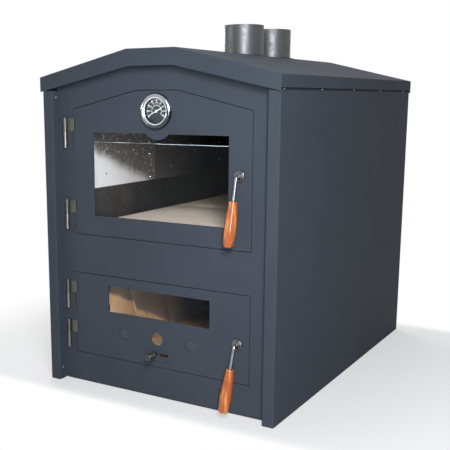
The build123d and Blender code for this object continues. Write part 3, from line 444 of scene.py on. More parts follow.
@dataclass(frozen=True)
class SootedSteel(Finish):
    """Steel inside the oven: smoke darkens it, and painted shade further in where that is given."""

    roughness: float = 0.55
    metallic: float = 0.1
    sooted: float = 0.8
    soot_and_shade: Colour = (0.008, 0.008, 0.0085)
    deep_shade: tuple[float, float] | None = None

    def shade(self, shader: Shader) -> None:
        """Rolled sheet with soot that gathers in clouds, and painted shade further in where given.

        Args:
            shader: The material's shader.
        """
        clouds = shader.noise(70.0, 5.0)
        fine = shader.noise(2.0, 3.0, (1.0, 0.2, 1.0))
        soot_and_shade = clouds.step(0.30, 0.75) * self.sooted
        # Painted shade: darker further in along Y, where a depth range is given.
        if self.deep_shade:
            soot_and_shade = soot_and_shade + shader.axis(1).step(*self.deep_shade)
        tone = shader.layered(self.tint(0.8), (fine, self.colour), (soot_and_shade, self.soot_and_shade))
        shader.feed(Base_Color=tone, Metallic=(1.0 - soot_and_shade * 0.8) * self.metallic,
                    Roughness=self.roughness + soot_and_shade * 0.3 + fine.swing(0.1))
        shader.relief(fine * 0.5 + clouds * 0.5, 0.05, 0.4)


@dataclass(frozen=True)
class LinerSteel(Finish):
    """Bright stainless liner; painted shadow and soot dull its upper part, painted shade its rear.
    """

    # Line of painted shadow and soot: depth of the liner's front, height there and fall per metre;
    # then the joint, behind which painted shade lies.
    front: float = -0.4
    line: float = 0.580
    slope: float = 0.41
    joint: tuple[float, float] = (-0.099, -0.091)
    # Colours of the painted shadow and soot near the front, of the painted shade further in, and of
    # the lap.
    near_shadow_soot: Colour = (0.125, 0.123, 0.122)
    far_shade: Colour = (0.016, 0.016, 0.018)
    bare_lap: Colour = (0.30, 0.30, 0.30)

    def shade(self, shader: Shader) -> None:
        """Brushed sheet with painted shadow and soot above a slanting line, and painted shade
        behind the joint but for its lap.

        Args:
            shader: The material's shader.
        """
        depth = shader.axis(1)
        marks = shader.noise(0.8, stretch=Grain.ALONG_Y.value)
        # Soot-free spots, which also stand as painted glints.
        clear = shader.noise(7.0, 3.0, shift=2.0).step(0.58, 0.68) * 0.60
        # Painted shadow of the window's top edge, with soot, above a slanting line; painted shade
        # behind the joint, darker further in.
        line = self.line - (depth - self.front) * self.slope + shader.noise(40.0, 5.0).swing(0.035)
        soot_and_shade = (shader.axis(2) - line).step(-0.018, 0.018)
        soot_and_shade = (soot_and_shade + depth.step(*self.joint) * 0.9) * (1.0 - clear)
        lap = depth.step(-0.0965, -0.0945) * depth.step(-0.084, -0.087)
        deep_shade = shader.layered(self.near_shadow_soot, (depth.step(-0.12, 0.22), self.far_shade),
                              (lap * 0.5, self.bare_lap))
        tone = shader.layered(self.tint(0.93), (marks, self.colour), (soot_and_shade * 0.95, deep_shade))
        shader.feed(Base_Color=tone, Metallic=0.05 + soot_and_shade * 0.2, Roughness=0.42 + marks.swing(0.12))
        shader.relief(marks, 0.01, 0.5)


@dataclass(frozen=True)
class FiredClay(Finish):
    """Firebrick or baking tile: matt clay with grog, pores and scorch marks.

    Where a height and a slope are given, painted shadow and smoke lie above that line, a little
    lower from the second brick on, and painted shade darkens the bricks towards the back.
    """

    dark: Colour = (0.30, 0.20, 0.13)
    scorch: float = 0.3
    grog: float = 2.2
    # Line of painted shadow and smoke: height and slope, the front brick's front, and where the
    # second brick begins.
    shadow_smoke_line: tuple[float, float] | None = None
    front: float = -0.345
    second: float = -0.231
    # Colours of the painted shadow with smoke, of the painted shade towards the back, and of the
    # joints.
    smoke: Colour = (0.22, 0.195, 0.19)
    depth_shade: Colour = (0.045, 0.062, 0.085)
    joint: Colour = (0.035, 0.024, 0.018)

    def shade(self, shader: Shader) -> None:
        """Mottled clay, dark pores, pale grog and soft scorching.

        Args:
            shader: The material's shader.
        """
        body = shader.noise(30.0, 5.0)
        fine = shader.noise(1.6, 3.0)
        pores = shader.specks(self.grog * 3.1, 0.20)
        burnt = shader.noise(90.0, 4.0, shift=7.0).step(0.50, 0.78) * self.scorch
        tone = shader.layered(
            self.tint(0.82), (body, self.tint(1.12)),
            (shader.specks(self.grog * 2.0, 0.34) * 0.35, self.tint(1.3)),
            (pores * 0.7, self.dark), (burnt, tinted(self.dark, 0.25)))
        # Painted shadow and smoke above a slanting line that drops at the second brick, painted
        # shade towards the back, and dark joints.
        if self.shadow_smoke_line:
            height, slope = self.shadow_smoke_line
            along = shader.axis(1)
            line = height - (along - self.front) * slope + body.swing(0.02)
            line = line - along.step(self.second - MM, self.second + MM) * 0.017
            tone = shader.layered(
                tone, ((shader.axis(2) - line).step(-0.005, 0.008) * 0.86, self.smoke),
                (along.step(-0.10, 0.02) * 0.9, self.depth_shade), (shader.edge(3.2) * 0.9, self.joint))
        shader.feed(Base_Color=tone, Roughness=0.86 + fine.swing(0.16))
        shader.relief(fine * 0.5 + body * 0.3 - pores * 0.6 + 0.4, 0.35, 0.7)


@dataclass(frozen=True)
class Fibre(Finish):
    """Mineral fibre: blanket, woven tape or knitted rope."""

    cell: float = 1.4
    woven: float = 0.0

    def shade(self, shader: Shader) -> None:
        """Loose fibres, over a slanting weave where the piece is woven.

        Args:
            shader: The material's shader.
        """
        hair = shader.noise(self.cell, 5.0, (1.0, 0.25, 0.7))
        lumps = shader.noise(self.cell * 14.0, 3.0)
        pitch = 2.0 * math.pi / (self.cell * 2.0 * MM)
        across, up = shader.axis(0), shader.axis(2)
        weave = ((across + up) * pitch).sine() * ((across - up) * pitch).sine() * 0.5 + 0.5
        height = hair * (1.0 - self.woven) + weave * self.woven
        tone = shader.mix(height * 0.7 + lumps * 0.3, self.tint(0.62), self.colour)
        shader.feed(Base_Color=tone, Roughness=0.94, Sheen_Weight=0.15)
        shader.relief(height * 0.8 + lumps * 0.2, self.cell * 0.45, 0.8)


@dataclass(frozen=True)
class Pane(Finish):
    """Clear glass: mostly see-through, with a reflecting skin and faint smears."""

    body: float = 0.002
    mirror: float = 0.05

    def shade(self, shader: Shader) -> None:
        """See-through sheet whose reflection grows at grazing angles.

        Args:
            shader: The material's shader.
        """
        smear = shader.noise(45.0, 4.0, (0.5, 1.0, 1.0)).step(0.55, 0.85)
        skin = shader.wire("Fresnel", 0, {"IOR": 1.5}) * self.mirror
        rough = 0.03 + smear * 0.06 + shader.noise(6.0, 3.0).swing(0.01)
        shader.feed(Base_Color=self.colour, Roughness=rough, Metallic=1.0,
                    Alpha=self.body + skin + smear * 0.003)
        shader.material.surface_render_method = "BLENDED"


@dataclass(frozen=True)
class Enamel(Finish):
    """Smooth printed or enamelled surface."""

    roughness: float = 0.5
    mottle: float = 0.12

    def shade(self, shader: Shader) -> None:
        """Even colour with the faintest mottling.

        Args:
            shader: The material's shader.
        """
        fine = shader.noise(0.7)
        tone = shader.mix(shader.noise(9.0, 3.0), self.tint(1.0 - self.mottle), self.colour)
        shader.feed(Base_Color=tone, Roughness=self.roughness + fine.swing(0.1))
        shader.relief(fine, 0.006, 0.4)


@dataclass(frozen=True)
class GroundEdge(Finish):
    """Ground edge of a glass pane: pale where it is clean, grey where dust and soot lie, and
    lighter towards the right as a painted highlight.
    """

    dust_and_shade: Colour = (0.16, 0.19, 0.20)

    def shade(self, shader: Shader) -> None:
        """Long clean and dusty stretches, paler to the right as a painted highlight, with fine
        grinding marks.

        Args:
            shader: The material's shader.
        """
        # Painted highlight: the edge grows paler towards the right, over random dusty and clean
        # stretches.
        stretch = shader.noise(70.0, shift=4.0) + shader.axis(0) * 1.1
        marks = shader.noise(0.5, stretch=Grain.ALONG_X.value)
        tone = shader.mix(stretch.step(0.42, 0.58), self.dust_and_shade, self.colour)
        shader.feed(Base_Color=tone, Roughness=0.14 + marks.swing(0.08))
        shader.relief(marks, 0.01, 0.4)


@dataclass(frozen=True)
class VarnishedWood(Finish):
    """Turned hardwood under clear varnish, with the grain along the grip."""

    dark: Colour = (0.17, 0.030, 0.010)
    pale: Colour = (0.80, 0.34, 0.11)
    foot: float = 0.0

    def shade(self, shader: Shader) -> None:
        """Wavy growth rings drawn out along the grip, fine pores, a foot darkened by end grain and
        painted shade, and a glossy coat.

        Args:
            shader: The material's shader.
        """
        bands = shader.noise(3.4, 3.0, (1.0, 1.0, 0.10))
        rings = ((bands * 34.0).sine() * 0.5 + 0.5) ** 1.6
        pores = shader.noise(0.35, 2.0, (1.0, 1.0, 0.035)).step(0.56, 0.72)
        sapwood = shader.noise(5.5, 2.0, (1.0, 1.0, 0.06), shift=3.0).step(0.52, 0.64)
        # Darker foot: end grain, and painted shade on the grip's underside.
        end_grain_shade = (shader.axis(2) - self.foot).step(0.0042, 0.0008)
        tone = shader.layered(
            self.tint(0.85), (shader.noise(26.0, 3.0), self.tint(1.12)),
            (rings * 0.42, self.dark), (sapwood * 0.35, self.pale),
            (pores * 0.35, tinted(self.dark, 0.5)), (end_grain_shade * 0.85, tinted(self.dark, 0.35)))
        shader.feed(Base_Color=tone, Roughness=0.38 + pores.swing(0.06), Coat_Weight=1.0,
                    Coat_Roughness=0.11, Specular_IOR_Level=0.0)
        shader.relief(pores * -0.5 + rings * 0.2 + 0.5, 0.03, 0.4)


@dataclass(frozen=True)
class Rubber(Finish):
    """Matt seal rubber with a dusty bloom."""

    def shade(self, shader: Shader) -> None:
        """Fine pebbling and pale bloom.

        Args:
            shader: The material's shader.
        """
        fine = shader.noise(0.6)
        bloom = shader.noise(12.0, 4.0).step(0.45, 0.8)
        tone = shader.mix(bloom * 0.4, self.colour, self.tint(2.2, 0.02))
        shader.feed(Base_Color=tone, Roughness=0.8 + fine.swing(0.1))
        shader.relief(fine, 0.03, 0.6)


CASING_PAINT = PowderCoat("casing_paint", (0.034, 0.0405, 0.052))
SLIDE_PAINT = PowderCoat("slide_paint", (0.040, 0.046, 0.058))
HINGE_PAINT = PowderCoat("hinge_paint", (0.034, 0.037, 0.042), roughness=0.55, grain=0.8)
SCREW_STEEL = Metal("screw_steel", (0.50, 0.50, 0.52), 0.28, stain=(0.3, 0.28, 0.25))
HINGE_STEEL = Metal("hinge_steel", (0.105, 0.104, 0.098), 0.38, Grain.ALONG_Z,
                    stain=(0.10, 0.10, 0.09), stained=0.5)
BARREL_STEEL = Metal("barrel_steel", (0.17, 0.16, 0.16), 0.30, Grain.ALONG_Z,
                     stain=(0.12, 0.11, 0.11), stained=0.4)
ROD_STEEL = Metal("rod_steel", (0.27, 0.27, 0.285), 0.27, Grain.ROUND_Z, stain=(0.20, 0.19, 0.18))
BUSH_STEEL = Metal("bush_steel", (0.30, 0.29, 0.28), 0.26, Grain.ROUND_Y, stain=(0.12, 0.12, 0.115))
BOSS_STEEL = Metal("boss_steel", (0.17, 0.17, 0.175), 0.26, Grain.ROUND_Y, stain=(0.06, 0.06, 0.06))
KNOB_STEEL = Metal("knob_steel", (0.075, 0.074, 0.074), 0.30, Grain.ROUND_Y,
                   stain=(0.04, 0.04, 0.04))
CLIP_STEEL = Metal("clip_steel", (0.30, 0.30, 0.31), 0.36, Grain.ALONG_X)
FLUE_STEEL = Metal("flue_steel", (0.100, 0.103, 0.108), 0.44, Grain.ROUND_Z,
                   stain=(0.085, 0.085, 0.086), stained=0.15)
RIVET_STEEL = Metal("rivet_steel", (0.75, 0.75, 0.74), 0.25)
WELD_STEEL = Metal("weld_steel", (0.95, 0.95, 0.94), 0.22, stained=0.02)
CHROME = Metal("chrome", (0.48, 0.49, 0.55), 0.09, scratch=0.02, depth=0.002,
               stain=(0.42, 0.42, 0.46), stained=0.2)
BEZEL_CHROME = Bezel("bezel_chrome", (0.38, 0.39, 0.43), 0.09, scratch=0.02, depth=0.002)
JACKET_STEEL = SootedSteel("jacket_steel", (0.045, 0.045, 0.047), metallic=0.15)
# Mouth frame kept nearly black, as painted shade in the gaps round the doors.
GAP_SHADE_STEEL = SootedSteel("gap_shade_steel", (0.018, 0.020, 0.026), metallic=0.0)
# Chamber steel with painted shade that darkens it towards the back.
CHAMBER_STEEL = SootedSteel("chamber_steel", (0.042, 0.036, 0.031), 0.6, sooted=0.6,
                            deep_shade=(-0.30, -0.05))
LINER_STEEL = LinerSteel("liner_steel", (0.72, 0.72, 0.72))
# Side bricks carry painted shadow and smoke above a slanting line; the floor bricks lie below their
# line, so they carry only painted shade towards the back and dark joints.
FLOOR_BRICK = FiredClay("floor_brick", (0.95, 0.58, 0.34), shadow_smoke_line=(0.5, 0.0))
SIDE_BRICK = FiredClay("side_brick", (0.95, 0.58, 0.34), scorch=0.15, shadow_smoke_line=(0.212, 0.45))
# Back bricks coloured dark blue-grey: painted shade on the same firebrick.
SHADED_REAR_BRICK = FiredClay("shaded_rear_brick", (0.13, 0.155, 0.20), dark=(0.05, 0.05, 0.06))
HEARTH = FiredClay("hearth", (1.0, 0.78, 0.63), dark=(0.38, 0.28, 0.20), scorch=0.08, grog=1.3)
BLANKET = Fibre("blanket", (0.84, 0.83, 0.79), cell=1.6)
TAPE = Fibre("tape", (0.09, 0.09, 0.09), cell=0.7, woven=0.7)
ROPE = Fibre("rope", (0.17, 0.17, 0.17), cell=1.3, woven=0.75)
PANE = Pane("pane", (0.86, 0.92, 1.0))
LENS = Pane("lens", (0.86, 0.92, 1.0), mirror=0.10)
PANE_EDGE = GroundEdge("pane_edge", (0.80, 0.93, 0.96))
DIAL_BLACK = Enamel("dial_black", (0.006, 0.012, 0.018))
DIAL_WHITE = Enamel("dial_white", (0.80, 0.84, 0.84))
NEEDLE_WHITE = Enamel("needle_white", (0.86, 0.88, 0.88), roughness=0.35)
GRIP_WOOD = VarnishedWood("grip_wood", (0.31, 0.075, 0.014))
RING_RUBBER = Rubber("ring_rubber", (0.02, 0.02, 0.021))


class Piece:
    """A mesh object that is shaped with modelling operators."""

    def __init__(self, shape: bpy.types.Object) -> None:
        """Take over a mesh object."""
        self.shape = shape

    @staticmethod
    def nothing_selected() -> None:
        """Deselect every object."""
        for other in bpy.context.view_layer.objects:
            other.select_set(False)

    @classmethod
    def added(cls, name: str) -> "Piece":
        """Take over the object that an operator has just added.

        Args:
            name: Its new name.

        Returns:
            The piece.
        """
        shape = bpy.context.active_object
        shape.name = shape.data.name = name
        return cls(shape)

    @classmethod
    def from_node(cls, node: str, name: str | None = None) -> "Piece":
        """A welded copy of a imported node's mesh.

        Args:
            node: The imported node.
            name: Name of the copy; the node's own with _shell added when left out.

        Returns:
            The copy, with its flat faces joined up.
        """
        name = name or node + "_shell"
        shape = bpy.data.objects.new(name, frame["nodes"][node].data.copy())
        shape.data.name = name
        shape.data.materials.clear()
        bpy.context.scene.collection.objects.link(shape)
        piece = cls(shape)
        with piece.editing(Pick.VERTEX):
            bpy.ops.mesh.customdata_custom_splitnormals_clear()
            bpy.ops.mesh.select_all(action="SELECT")
            bpy.ops.mesh.remove_doubles(threshold=WELD_DISTANCE)
            bpy.ops.mesh.dissolve_limited(angle_limit=FLAT_ANGLE)
        return piece

    def alone(self) -> None:
        """Make this the only selected and active object."""
        self.nothing_selected()
        self.shape.select_set(True)
        bpy.context.view_layer.objects.active = self.shape

    @contextmanager
    def editing(self, pick: Pick) -> Iterator[None]:
        """Edit mode on this piece alone.

        Args:
            pick: What is selected.

        Yields:
            Nothing; operators run inside.
        """
        self.alone()
        bpy.context.tool_settings.mesh_select_mode = pick.value
        bpy.ops.object.mode_set(mode="EDIT")
        try:
            yield
        finally:
            bpy.ops.object.mode_set(mode="OBJECT")

    def choose_edges(self, test: Callable[[Vector, Vector], bool]) -> None:
        """Select edges by their place.

        Args:
            test: Called with an edge's two ends.
        """
        mesh = self.shape.data
        for group in (mesh.vertices, mesh.edges, mesh.polygons):
            group.foreach_set("select", [False] * len(group))
        for edge in mesh.edges:
            edge.select = test(*(mesh.vertices[i].co for i in edge.vertices))

    def modify(self, kind: str, **settings: object) -> "Piece":
        """Add a modifier and apply it.

        Args:
            kind: Modifier type.
            **settings: Its properties.

        Returns:
            The piece itself.
        """
        self.alone()
        modifier = self.shape.modifiers.new(kind.title(), kind)
        for key, value in settings.items():
            setattr(modifier, key, value)
        bpy.ops.object.modifier_apply(modifier=modifier.name)
        return self

    def soften(self, width: float, segments: int = 2) -> "Piece":
        """Round all edges that bend by more than 35 degrees.

        Args:
            width: Width of the rounding in millimetres.
            segments: Faces across it.

        Returns:
            The piece itself.
        """
        return self.modify("BEVEL", width=width * MM, segments=segments, limit_method="ANGLE",
                           angle_limit=SHARP_ANGLE, use_clamp_overlap=True,
                           harden_normals=False, miter_outer="MITER_ARC")

    def roughen(self, cuts: int, size: float, height: float, layers: int = 2) -> "Piece":
        """Divide the faces and make them uneven.

        Args:
            cuts: Cuts across each face.
            size: Width of the lumps in millimetres.
            height: Their height in millimetres, taken off the surface.
            layers: How many finer layers of lumps lie on them.

        Returns:
            The piece itself.
        """
        with self.editing(Pick.FACE):
            bpy.ops.mesh.select_all(action="SELECT")
            bpy.ops.mesh.quads_convert_to_tris()
            bpy.ops.mesh.subdivide(number_cuts=cuts)
        clouds = bpy.data.textures.new(self.shape.name + "_lumps", "CLOUDS")
        clouds.noise_scale = size * MM
        clouds.noise_depth = layers
        return self.modify("DISPLACE", texture=clouds, texture_coords="LOCAL",
                           strength=height * MM, mid_level=1.0)

    def smooth(self, angle: float) -> "Piece":
        """Shade the piece smooth where it bends little.

        Args:
            angle: Sharpest bend in degrees that is shaded smooth.

        Returns:
            The piece itself.
        """
        self.alone()
        bpy.ops.object.shade_smooth_by_angle(angle=math.radians(angle))
        return self

    def flatten(self, angle: float = 32.0, length: float = 90.0) -> "Piece":
        """Smooth shading that leaves flat sheets flat and long folds crisp.

        Args:
            angle: Sharpest bend in degrees that is shaded smooth.
            length: Shortest edge in millimetres that counts as a fold.

        Returns:
            The piece itself.
        """
        self.smooth(angle)
        with self.editing(Pick.EDGE):
            bpy.ops.mesh.select_all(action="DESELECT")
            bpy.ops.mesh.edges_select_sharp(sharpness=FOLD_ANGLE)
        mesh = self.shape.data
        for edge in mesh.edges:
            first, second = (mesh.vertices[i].co for i in edge.vertices)
            if (first - second).length < length * MM:
                edge.select = False
        with self.editing(Pick.EDGE):
            bpy.ops.mesh.mark_sharp()
        return self.modify("WEIGHTED_NORMAL", keep_sharp=True, mode="FACE_AREA", weight=60)

    def settle(self, matrix: Matrix | None = None) -> "Piece":
        """Put the place, turn and size into the mesh.

        Args:
            matrix: Where the piece goes, when it isn't there yet.

        Returns:
            The piece itself.
        """
        if matrix is not None:
            self.shape.matrix_world = matrix
        self.alone()
        bpy.ops.object.transform_apply(location=True, rotation=True, scale=True)
        return self

    def copy(self, name: str, matrix: Matrix) -> "Piece":
        """A copy with its own mesh, in another place.

        Args:
            name: Name of the copy.
            matrix: Its place relative to this one's mesh.

        Returns:
            The copy.
        """
        shape = self.shape.copy()
        shape.data = self.shape.data.copy()
        shape.name = shape.data.name = name
        bpy.context.scene.collection.objects.link(shape)
        return Piece(shape).settle(matrix)

    def join(self, others: Sequence["Piece"], name: str) -> "Piece":
        """Take other pieces into this one.

        Args:
            others: The pieces, which are gone afterwards.
            name: New name of this one.

        Returns:
            The piece itself.
        """
        self.alone()
        for other in others:
            other.shape.select_set(True)
        bpy.ops.object.join()
        self.shape.name = name
        return self

    def scatter(self, name: str, places: Sequence[Matrix]) -> "Piece":
        """Replace this piece by one that is made of copies of it.

        Args:
            name: Name of the new piece.
            places: Where the copies go.

        Returns:
            The new piece.
        """
        copies = [self.copy(f"{name}_{index}", place) for index, place in enumerate(places)]
        self.drop()
        return copies[0].join(copies[1:], name)

    def drop(self) -> None:
        """Delete the piece."""
        bpy.data.objects.remove(self.shape)

    def outward(self) -> "Piece":
        """Weld the seams and turn all faces outwards.

        Returns:
            The piece itself.
        """
        with self.editing(Pick.VERTEX):
            bpy.ops.mesh.select_all(action="SELECT")
            bpy.ops.mesh.remove_doubles(threshold=WELD_DISTANCE)
            bpy.ops.mesh.normals_make_consistent(inside=False)
        return self

    def paint(self, *finishes: Finish) -> "Piece":
        """Give the piece its finishes.

        Args:
            *finishes: The finishes; the first one lies all over.

        Returns:
            The piece itself.
        """
        self.shape.data.materials.clear()
        for finish in finishes:
            self.shape.data.materials.append(finish.material())
        return self

    def mount(self, body: str, slot: str, *nodes: str) -> "Piece":
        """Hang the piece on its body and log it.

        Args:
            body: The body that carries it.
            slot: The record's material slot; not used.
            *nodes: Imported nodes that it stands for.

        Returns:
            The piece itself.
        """
        self.shape.data.validate()
        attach(self.shape, body)
        if nodes:
            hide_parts(*nodes)
        LOG.info("%s: %d faces on %s", self.shape.name, len(self.shape.data.polygons), body)
        return self


def turned(name: str, profile: Sequence[tuple[float, float]], sides: int,
           ring: bool = False) -> Piece:
    """A piece turned about the Z axis, from a circle that is extruded and scaled step by step.

    Args:
        name: Name of the piece.
        profile: Radius and height of each step, in millimetres.
        sides: Faces round it.
        ring: Whether the profile closes on itself; otherwise both ends are capped.

    Returns:
        The piece, standing on the origin.
    """
    Piece.nothing_selected()
    radius, height = profile[0]
    bpy.ops.mesh.primitive_circle_add(vertices=sides, radius=radius * MM,
                                      location=(0, 0, height * MM),
                                      fill_type="NOTHING" if ring else "NGON")
    piece = Piece.added(name).settle()
    with piece.editing(Pick.EDGE):
        bpy.ops.mesh.select_all(action="SELECT")
        for next_radius, next_height in profile[1:]:
            bpy.ops.mesh.extrude_region_move(
                TRANSFORM_OT_translate={"value": (0, 0, (next_height - height) * MM)})
            scale = next_radius / radius
            bpy.ops.transform.resize(value=(scale, scale, 1.0),
                                     center_override=(0, 0, next_height * MM))
            radius, height = next_radius, next_height
    if ring:
        circles = [Vector(step) * MM for step in (profile[0], profile[-1])]

        def on_a_circle(*ends: Vector) -> bool:
            """Whether an edge lies on the profile's first or last circle."""
            return any(all((Vector((end.xy.length, end.z)) - circle).length < MM ** 2
                           for end in ends) for circle in circles)

        piece.choose_edges(on_a_circle)
        with piece.editing(Pick.EDGE):
            bpy.ops.mesh.bridge_edge_loops()
    return piece.outward()


def facing(direction: Vector, place: Vector, roll: float = 0.0) -> Matrix:
    """Turn that sends Z along a direction, after a roll about Z in degrees, and a place."""
    turn = Vector((0, 0, 1)).rotation_difference(direction).to_matrix().to_4x4()
    return Matrix.Translation(place) @ turn @ Matrix.Rotation(math.radians(roll), 4, "Z")


def centre(node: str) -> Vector:
    """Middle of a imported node's box."""
    low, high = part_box(node)
    return (low + high) / 2


def arc(centre_radius: float, centre_height: float, radius: float, start: float, end: float,
        steps: int) -> list[tuple[float, float]]:
    """Points of a profile along an arc.

    Args:
        centre_radius: Radius at which the arc's centre lies, in millimetres.
        centre_height: Height of the arc's centre.
        radius: Radius of the arc.
        start: Angle of its start in degrees, from straight outwards to straight up.
        end: Angle of its end.
        steps: Steps between them.

    Returns:
        Radius and height of each point, both ends included.
    """
    angles = [math.radians(start + (end - start) * step / steps) for step in range(steps + 1)]
    return [(centre_radius + radius * math.cos(a), centre_height + radius * math.sin(a))
            for a in angles]


def dressed(node: str, body: str, slot: str, finish: Finish, bevel: float = 0.4,
            angle: float = 32.0) -> Piece:
    """Stand-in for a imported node: the same shape with rounded edges and a finish.

    Args:
        node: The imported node.
        body: The body that carries it.
        slot: The record's material slot.
        finish: Its finish.
        bevel: Width of the edge rounding in millimetres; none when zero.
        angle: Largest bend in degrees that is shaded smooth.

    Returns:
        The piece.
    """
    piece = Piece.from_node(node)
    if bevel:
        piece.soften(bevel)
    return piece.flatten(angle).paint(finish).mount(body, slot, node)


def dress_all(body: str, *rows: tuple) -> None:
    """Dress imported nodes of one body; a row is a node and what follows the body in dressed."""
    for node, *look in rows:
        dressed(node, body, *look)


@dataclass
class Casing:
    """Painted outer sheets, their screws and the flue outlets.

    The screws' places are in metres: how far to the side they lie, how far behind the side
    panels' front edge or from the middle of the oven, and at which heights. The turns of their
    recesses are in degrees.
    """

    edge: float = 0.7
    screw_radius: float = 2.3
    screw_height: float = 2.0
    recess_depth: float = 0.9
    recess_width: float = 0.7
    flue_edge: float = 0.6
    skirt_screws: tuple[float, float, float] = (0.296, 0.021, 0.697)
    skirt_count: int = 5
    skirt_pitch: float = 0.2
    skirt_turn: tuple[float, float] = (20.0, 9.0)
    post_screws: tuple[float, float] = (0.2726, 0.012)
    post_heights: tuple[float, ...] = (0.0295, 0.6795)
    post_turn: float = 33.0
    back_screws: tuple[float, float] = (0.287, 0.435)
    back_heights: tuple[float, ...] = (0.0600, 0.2515, 0.4430, 0.6345)
    back_turn: float = 17.0
    sheets: tuple[str, ...] = ("left_side_panel", "right_side_panel", "hood", "hood_edges",
                               "front_plate", "back_panel", "base_plate")

    def build(self) -> None:
        """Model the sheets, screws and flues."""
        for node in self.sheets:
            dressed(node, "casing", "casing_paint", CASING_PAINT, self.edge)
        self.build_screws()
        for node in ("smoke_flue", "vent_flue"):
            dressed(node, "casing", "flue_steel", FLUE_STEEL, self.flue_edge)
        dressed("flue_rings", "casing", "ring_rubber", RING_RUBBER)

    def model_screw(self) -> Piece:
        """One pan-head screw with a cross recess, its head standing on the origin.

        Returns:
            The screw.
        """
        r, h = self.screw_radius, self.screw_height
        shank = [(1.3, -6.6), (1.5, -6.0), (1.5, 0.0)]
        head = [(r, 0.0), (r, h * 0.45), (r * 0.93, h * 0.72), (r * 0.78, h * 0.90),
                (r * 0.5, h * 0.98), (r * 0.15, h)]
        screw = turned("screw_model", shank + head, 16)
        size = (r * 1.15 * MM, self.recess_width * MM, self.recess_depth * 2 * MM, 1.0)
        for turn in (0.0, 90.0):
            Piece.nothing_selected()
            bpy.ops.mesh.primitive_cube_add(size=1.0)
            cut = Piece.added("recess_cut")
            cut.settle(Matrix.Translation((0, 0, h * MM))
                       @ Matrix.Rotation(math.radians(turn), 4, "Z") @ Matrix.Diagonal(size))
            screw.modify("BOOLEAN", operation="DIFFERENCE", object=cut.shape, solver="EXACT")
            cut.drop()
        return screw.smooth(30.0)

    def build_screws(self) -> None:
        """Screws under the hood's skirts, through the front posts and at the back."""
        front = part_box("left_side_panel")[0].y
        places = []
        x, y, z = self.skirt_screws
        for index in range(self.skirt_count):
            along = front + y + index * self.skirt_pitch
            roll = self.skirt_turn[0] * index + self.skirt_turn[1]
            places += [facing(Vector((side, 0, 0)), Vector((side * x, along, z)), roll)
                       for side in SIDES]
        x, y = self.post_screws
        for z in self.post_heights:
            places += [facing(Vector((-side, 0, 0)), Vector((side * x, front + y, z)),
                              self.post_turn) for side in SIDES]
        x, y = self.back_screws
        for index, z in enumerate(self.back_heights):
            places += [facing(Vector((0, 1, 0)), Vector((side * x, y, z)),
                              self.back_turn * index) for side in SIDES]
        screws = self.model_screw().scatter("casing_screw_set", places)
        screws.paint(SCREW_STEEL).mount("casing", "screw_steel", "casing_screws")


@dataclass
class Interior:
    """Jacket, baking chamber, liners, tiles, firebricks and insulation."""

    brick_edge: float = 2.4
    tile_edge: float = 0.8
    clay_lumps: float = 0.45
    blanket_edge: float = 5.0
    blanket_lumps: float = 1.6
    weld_radius: float = 2.7
    weld_pitch: float = 15.0
    weld_row: float = -0.110
    weld_start: float = 0.6
    weld_sway: float = 0.004
    weld_wave: float = 2.4
    weld_sizes: tuple[float, ...] = (1.5, 0.7, 0.9, 0.6, 1.3, 0.8, 1.0, 0.6)
    liner_thickness: float = 1.5

    def build(self) -> None:
        """Model all that lies inside the casing."""
        dress_all("casing", ("smoke_jacket", "jacket_steel", JACKET_STEEL),
                  ("chamber_support", "jacket_steel", JACKET_STEEL),
                  ("baking_chamber", "chamber_steel", CHAMBER_STEEL, 0.0),
                  ("side_liners", "liner_steel", LINER_STEEL, 0.3),
                  ("liner_rivets", "liner_steel", RIVET_STEEL, 0.0, 50.0),
                  ("mouth_frame", "jacket_steel", GAP_SHADE_STEEL))
        for node, slot, finish, edge in (
                ("floor_bricks", "brick", FLOOR_BRICK, self.brick_edge),
                ("side_bricks", "brick", SIDE_BRICK, self.brick_edge),
                ("back_bricks", "brick", SHADED_REAR_BRICK, self.brick_edge),
                ("hearth_slabs", "hearth", HEARTH, self.tile_edge)):
            clay = Piece.from_node(node).soften(edge).roughen(3, 14.0, self.clay_lumps, 3)
            clay.smooth(40.0).paint(finish).mount("casing", slot, node)
        self.build_blankets()
        self.build_welds()

    def build_blankets(self) -> None:
        """Soft-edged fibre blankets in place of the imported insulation."""
        piece = Piece.from_node("insulation", "insulation_blankets")
        piece.soften(self.blanket_edge, 3).roughen(4, 45.0, self.blanket_lumps)
        piece.smooth(60.0).paint(BLANKET).mount("casing", "blanket", "insulation")

    def build_welds(self) -> None:
        """Row of spot welds in front of the joint between the two liners, on both sides."""
        low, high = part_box("side_liners")
        r = self.weld_radius
        spot = turned("weld_model", [(r, -0.3), (r, 0.05), (r * 0.92, 1.0), (r * 0.70, 1.9),
                                     (r * 0.38, 2.5), (r * 0.08, 2.7)], 12)
        x = abs(low.x) - self.liner_thickness * MM
        places = []
        for index in range(int((high.z - low.z) / MM / self.weld_pitch)):
            y = self.weld_row - self.weld_sway * math.sin(self.weld_wave * index)
            z = low.z + (index + self.weld_start) * self.weld_pitch * MM
            size = Matrix.Scale(self.weld_sizes[index % len(self.weld_sizes)], 4)
            places += [facing(Vector((-side, 0, 0)), Vector((side * x, y, z))) @ size
                       for side in SIDES]
        welds = spot.scatter("liner_welds", places)
        welds.smooth(60.0).paint(WELD_STEEL).mount("casing", "liner_steel")


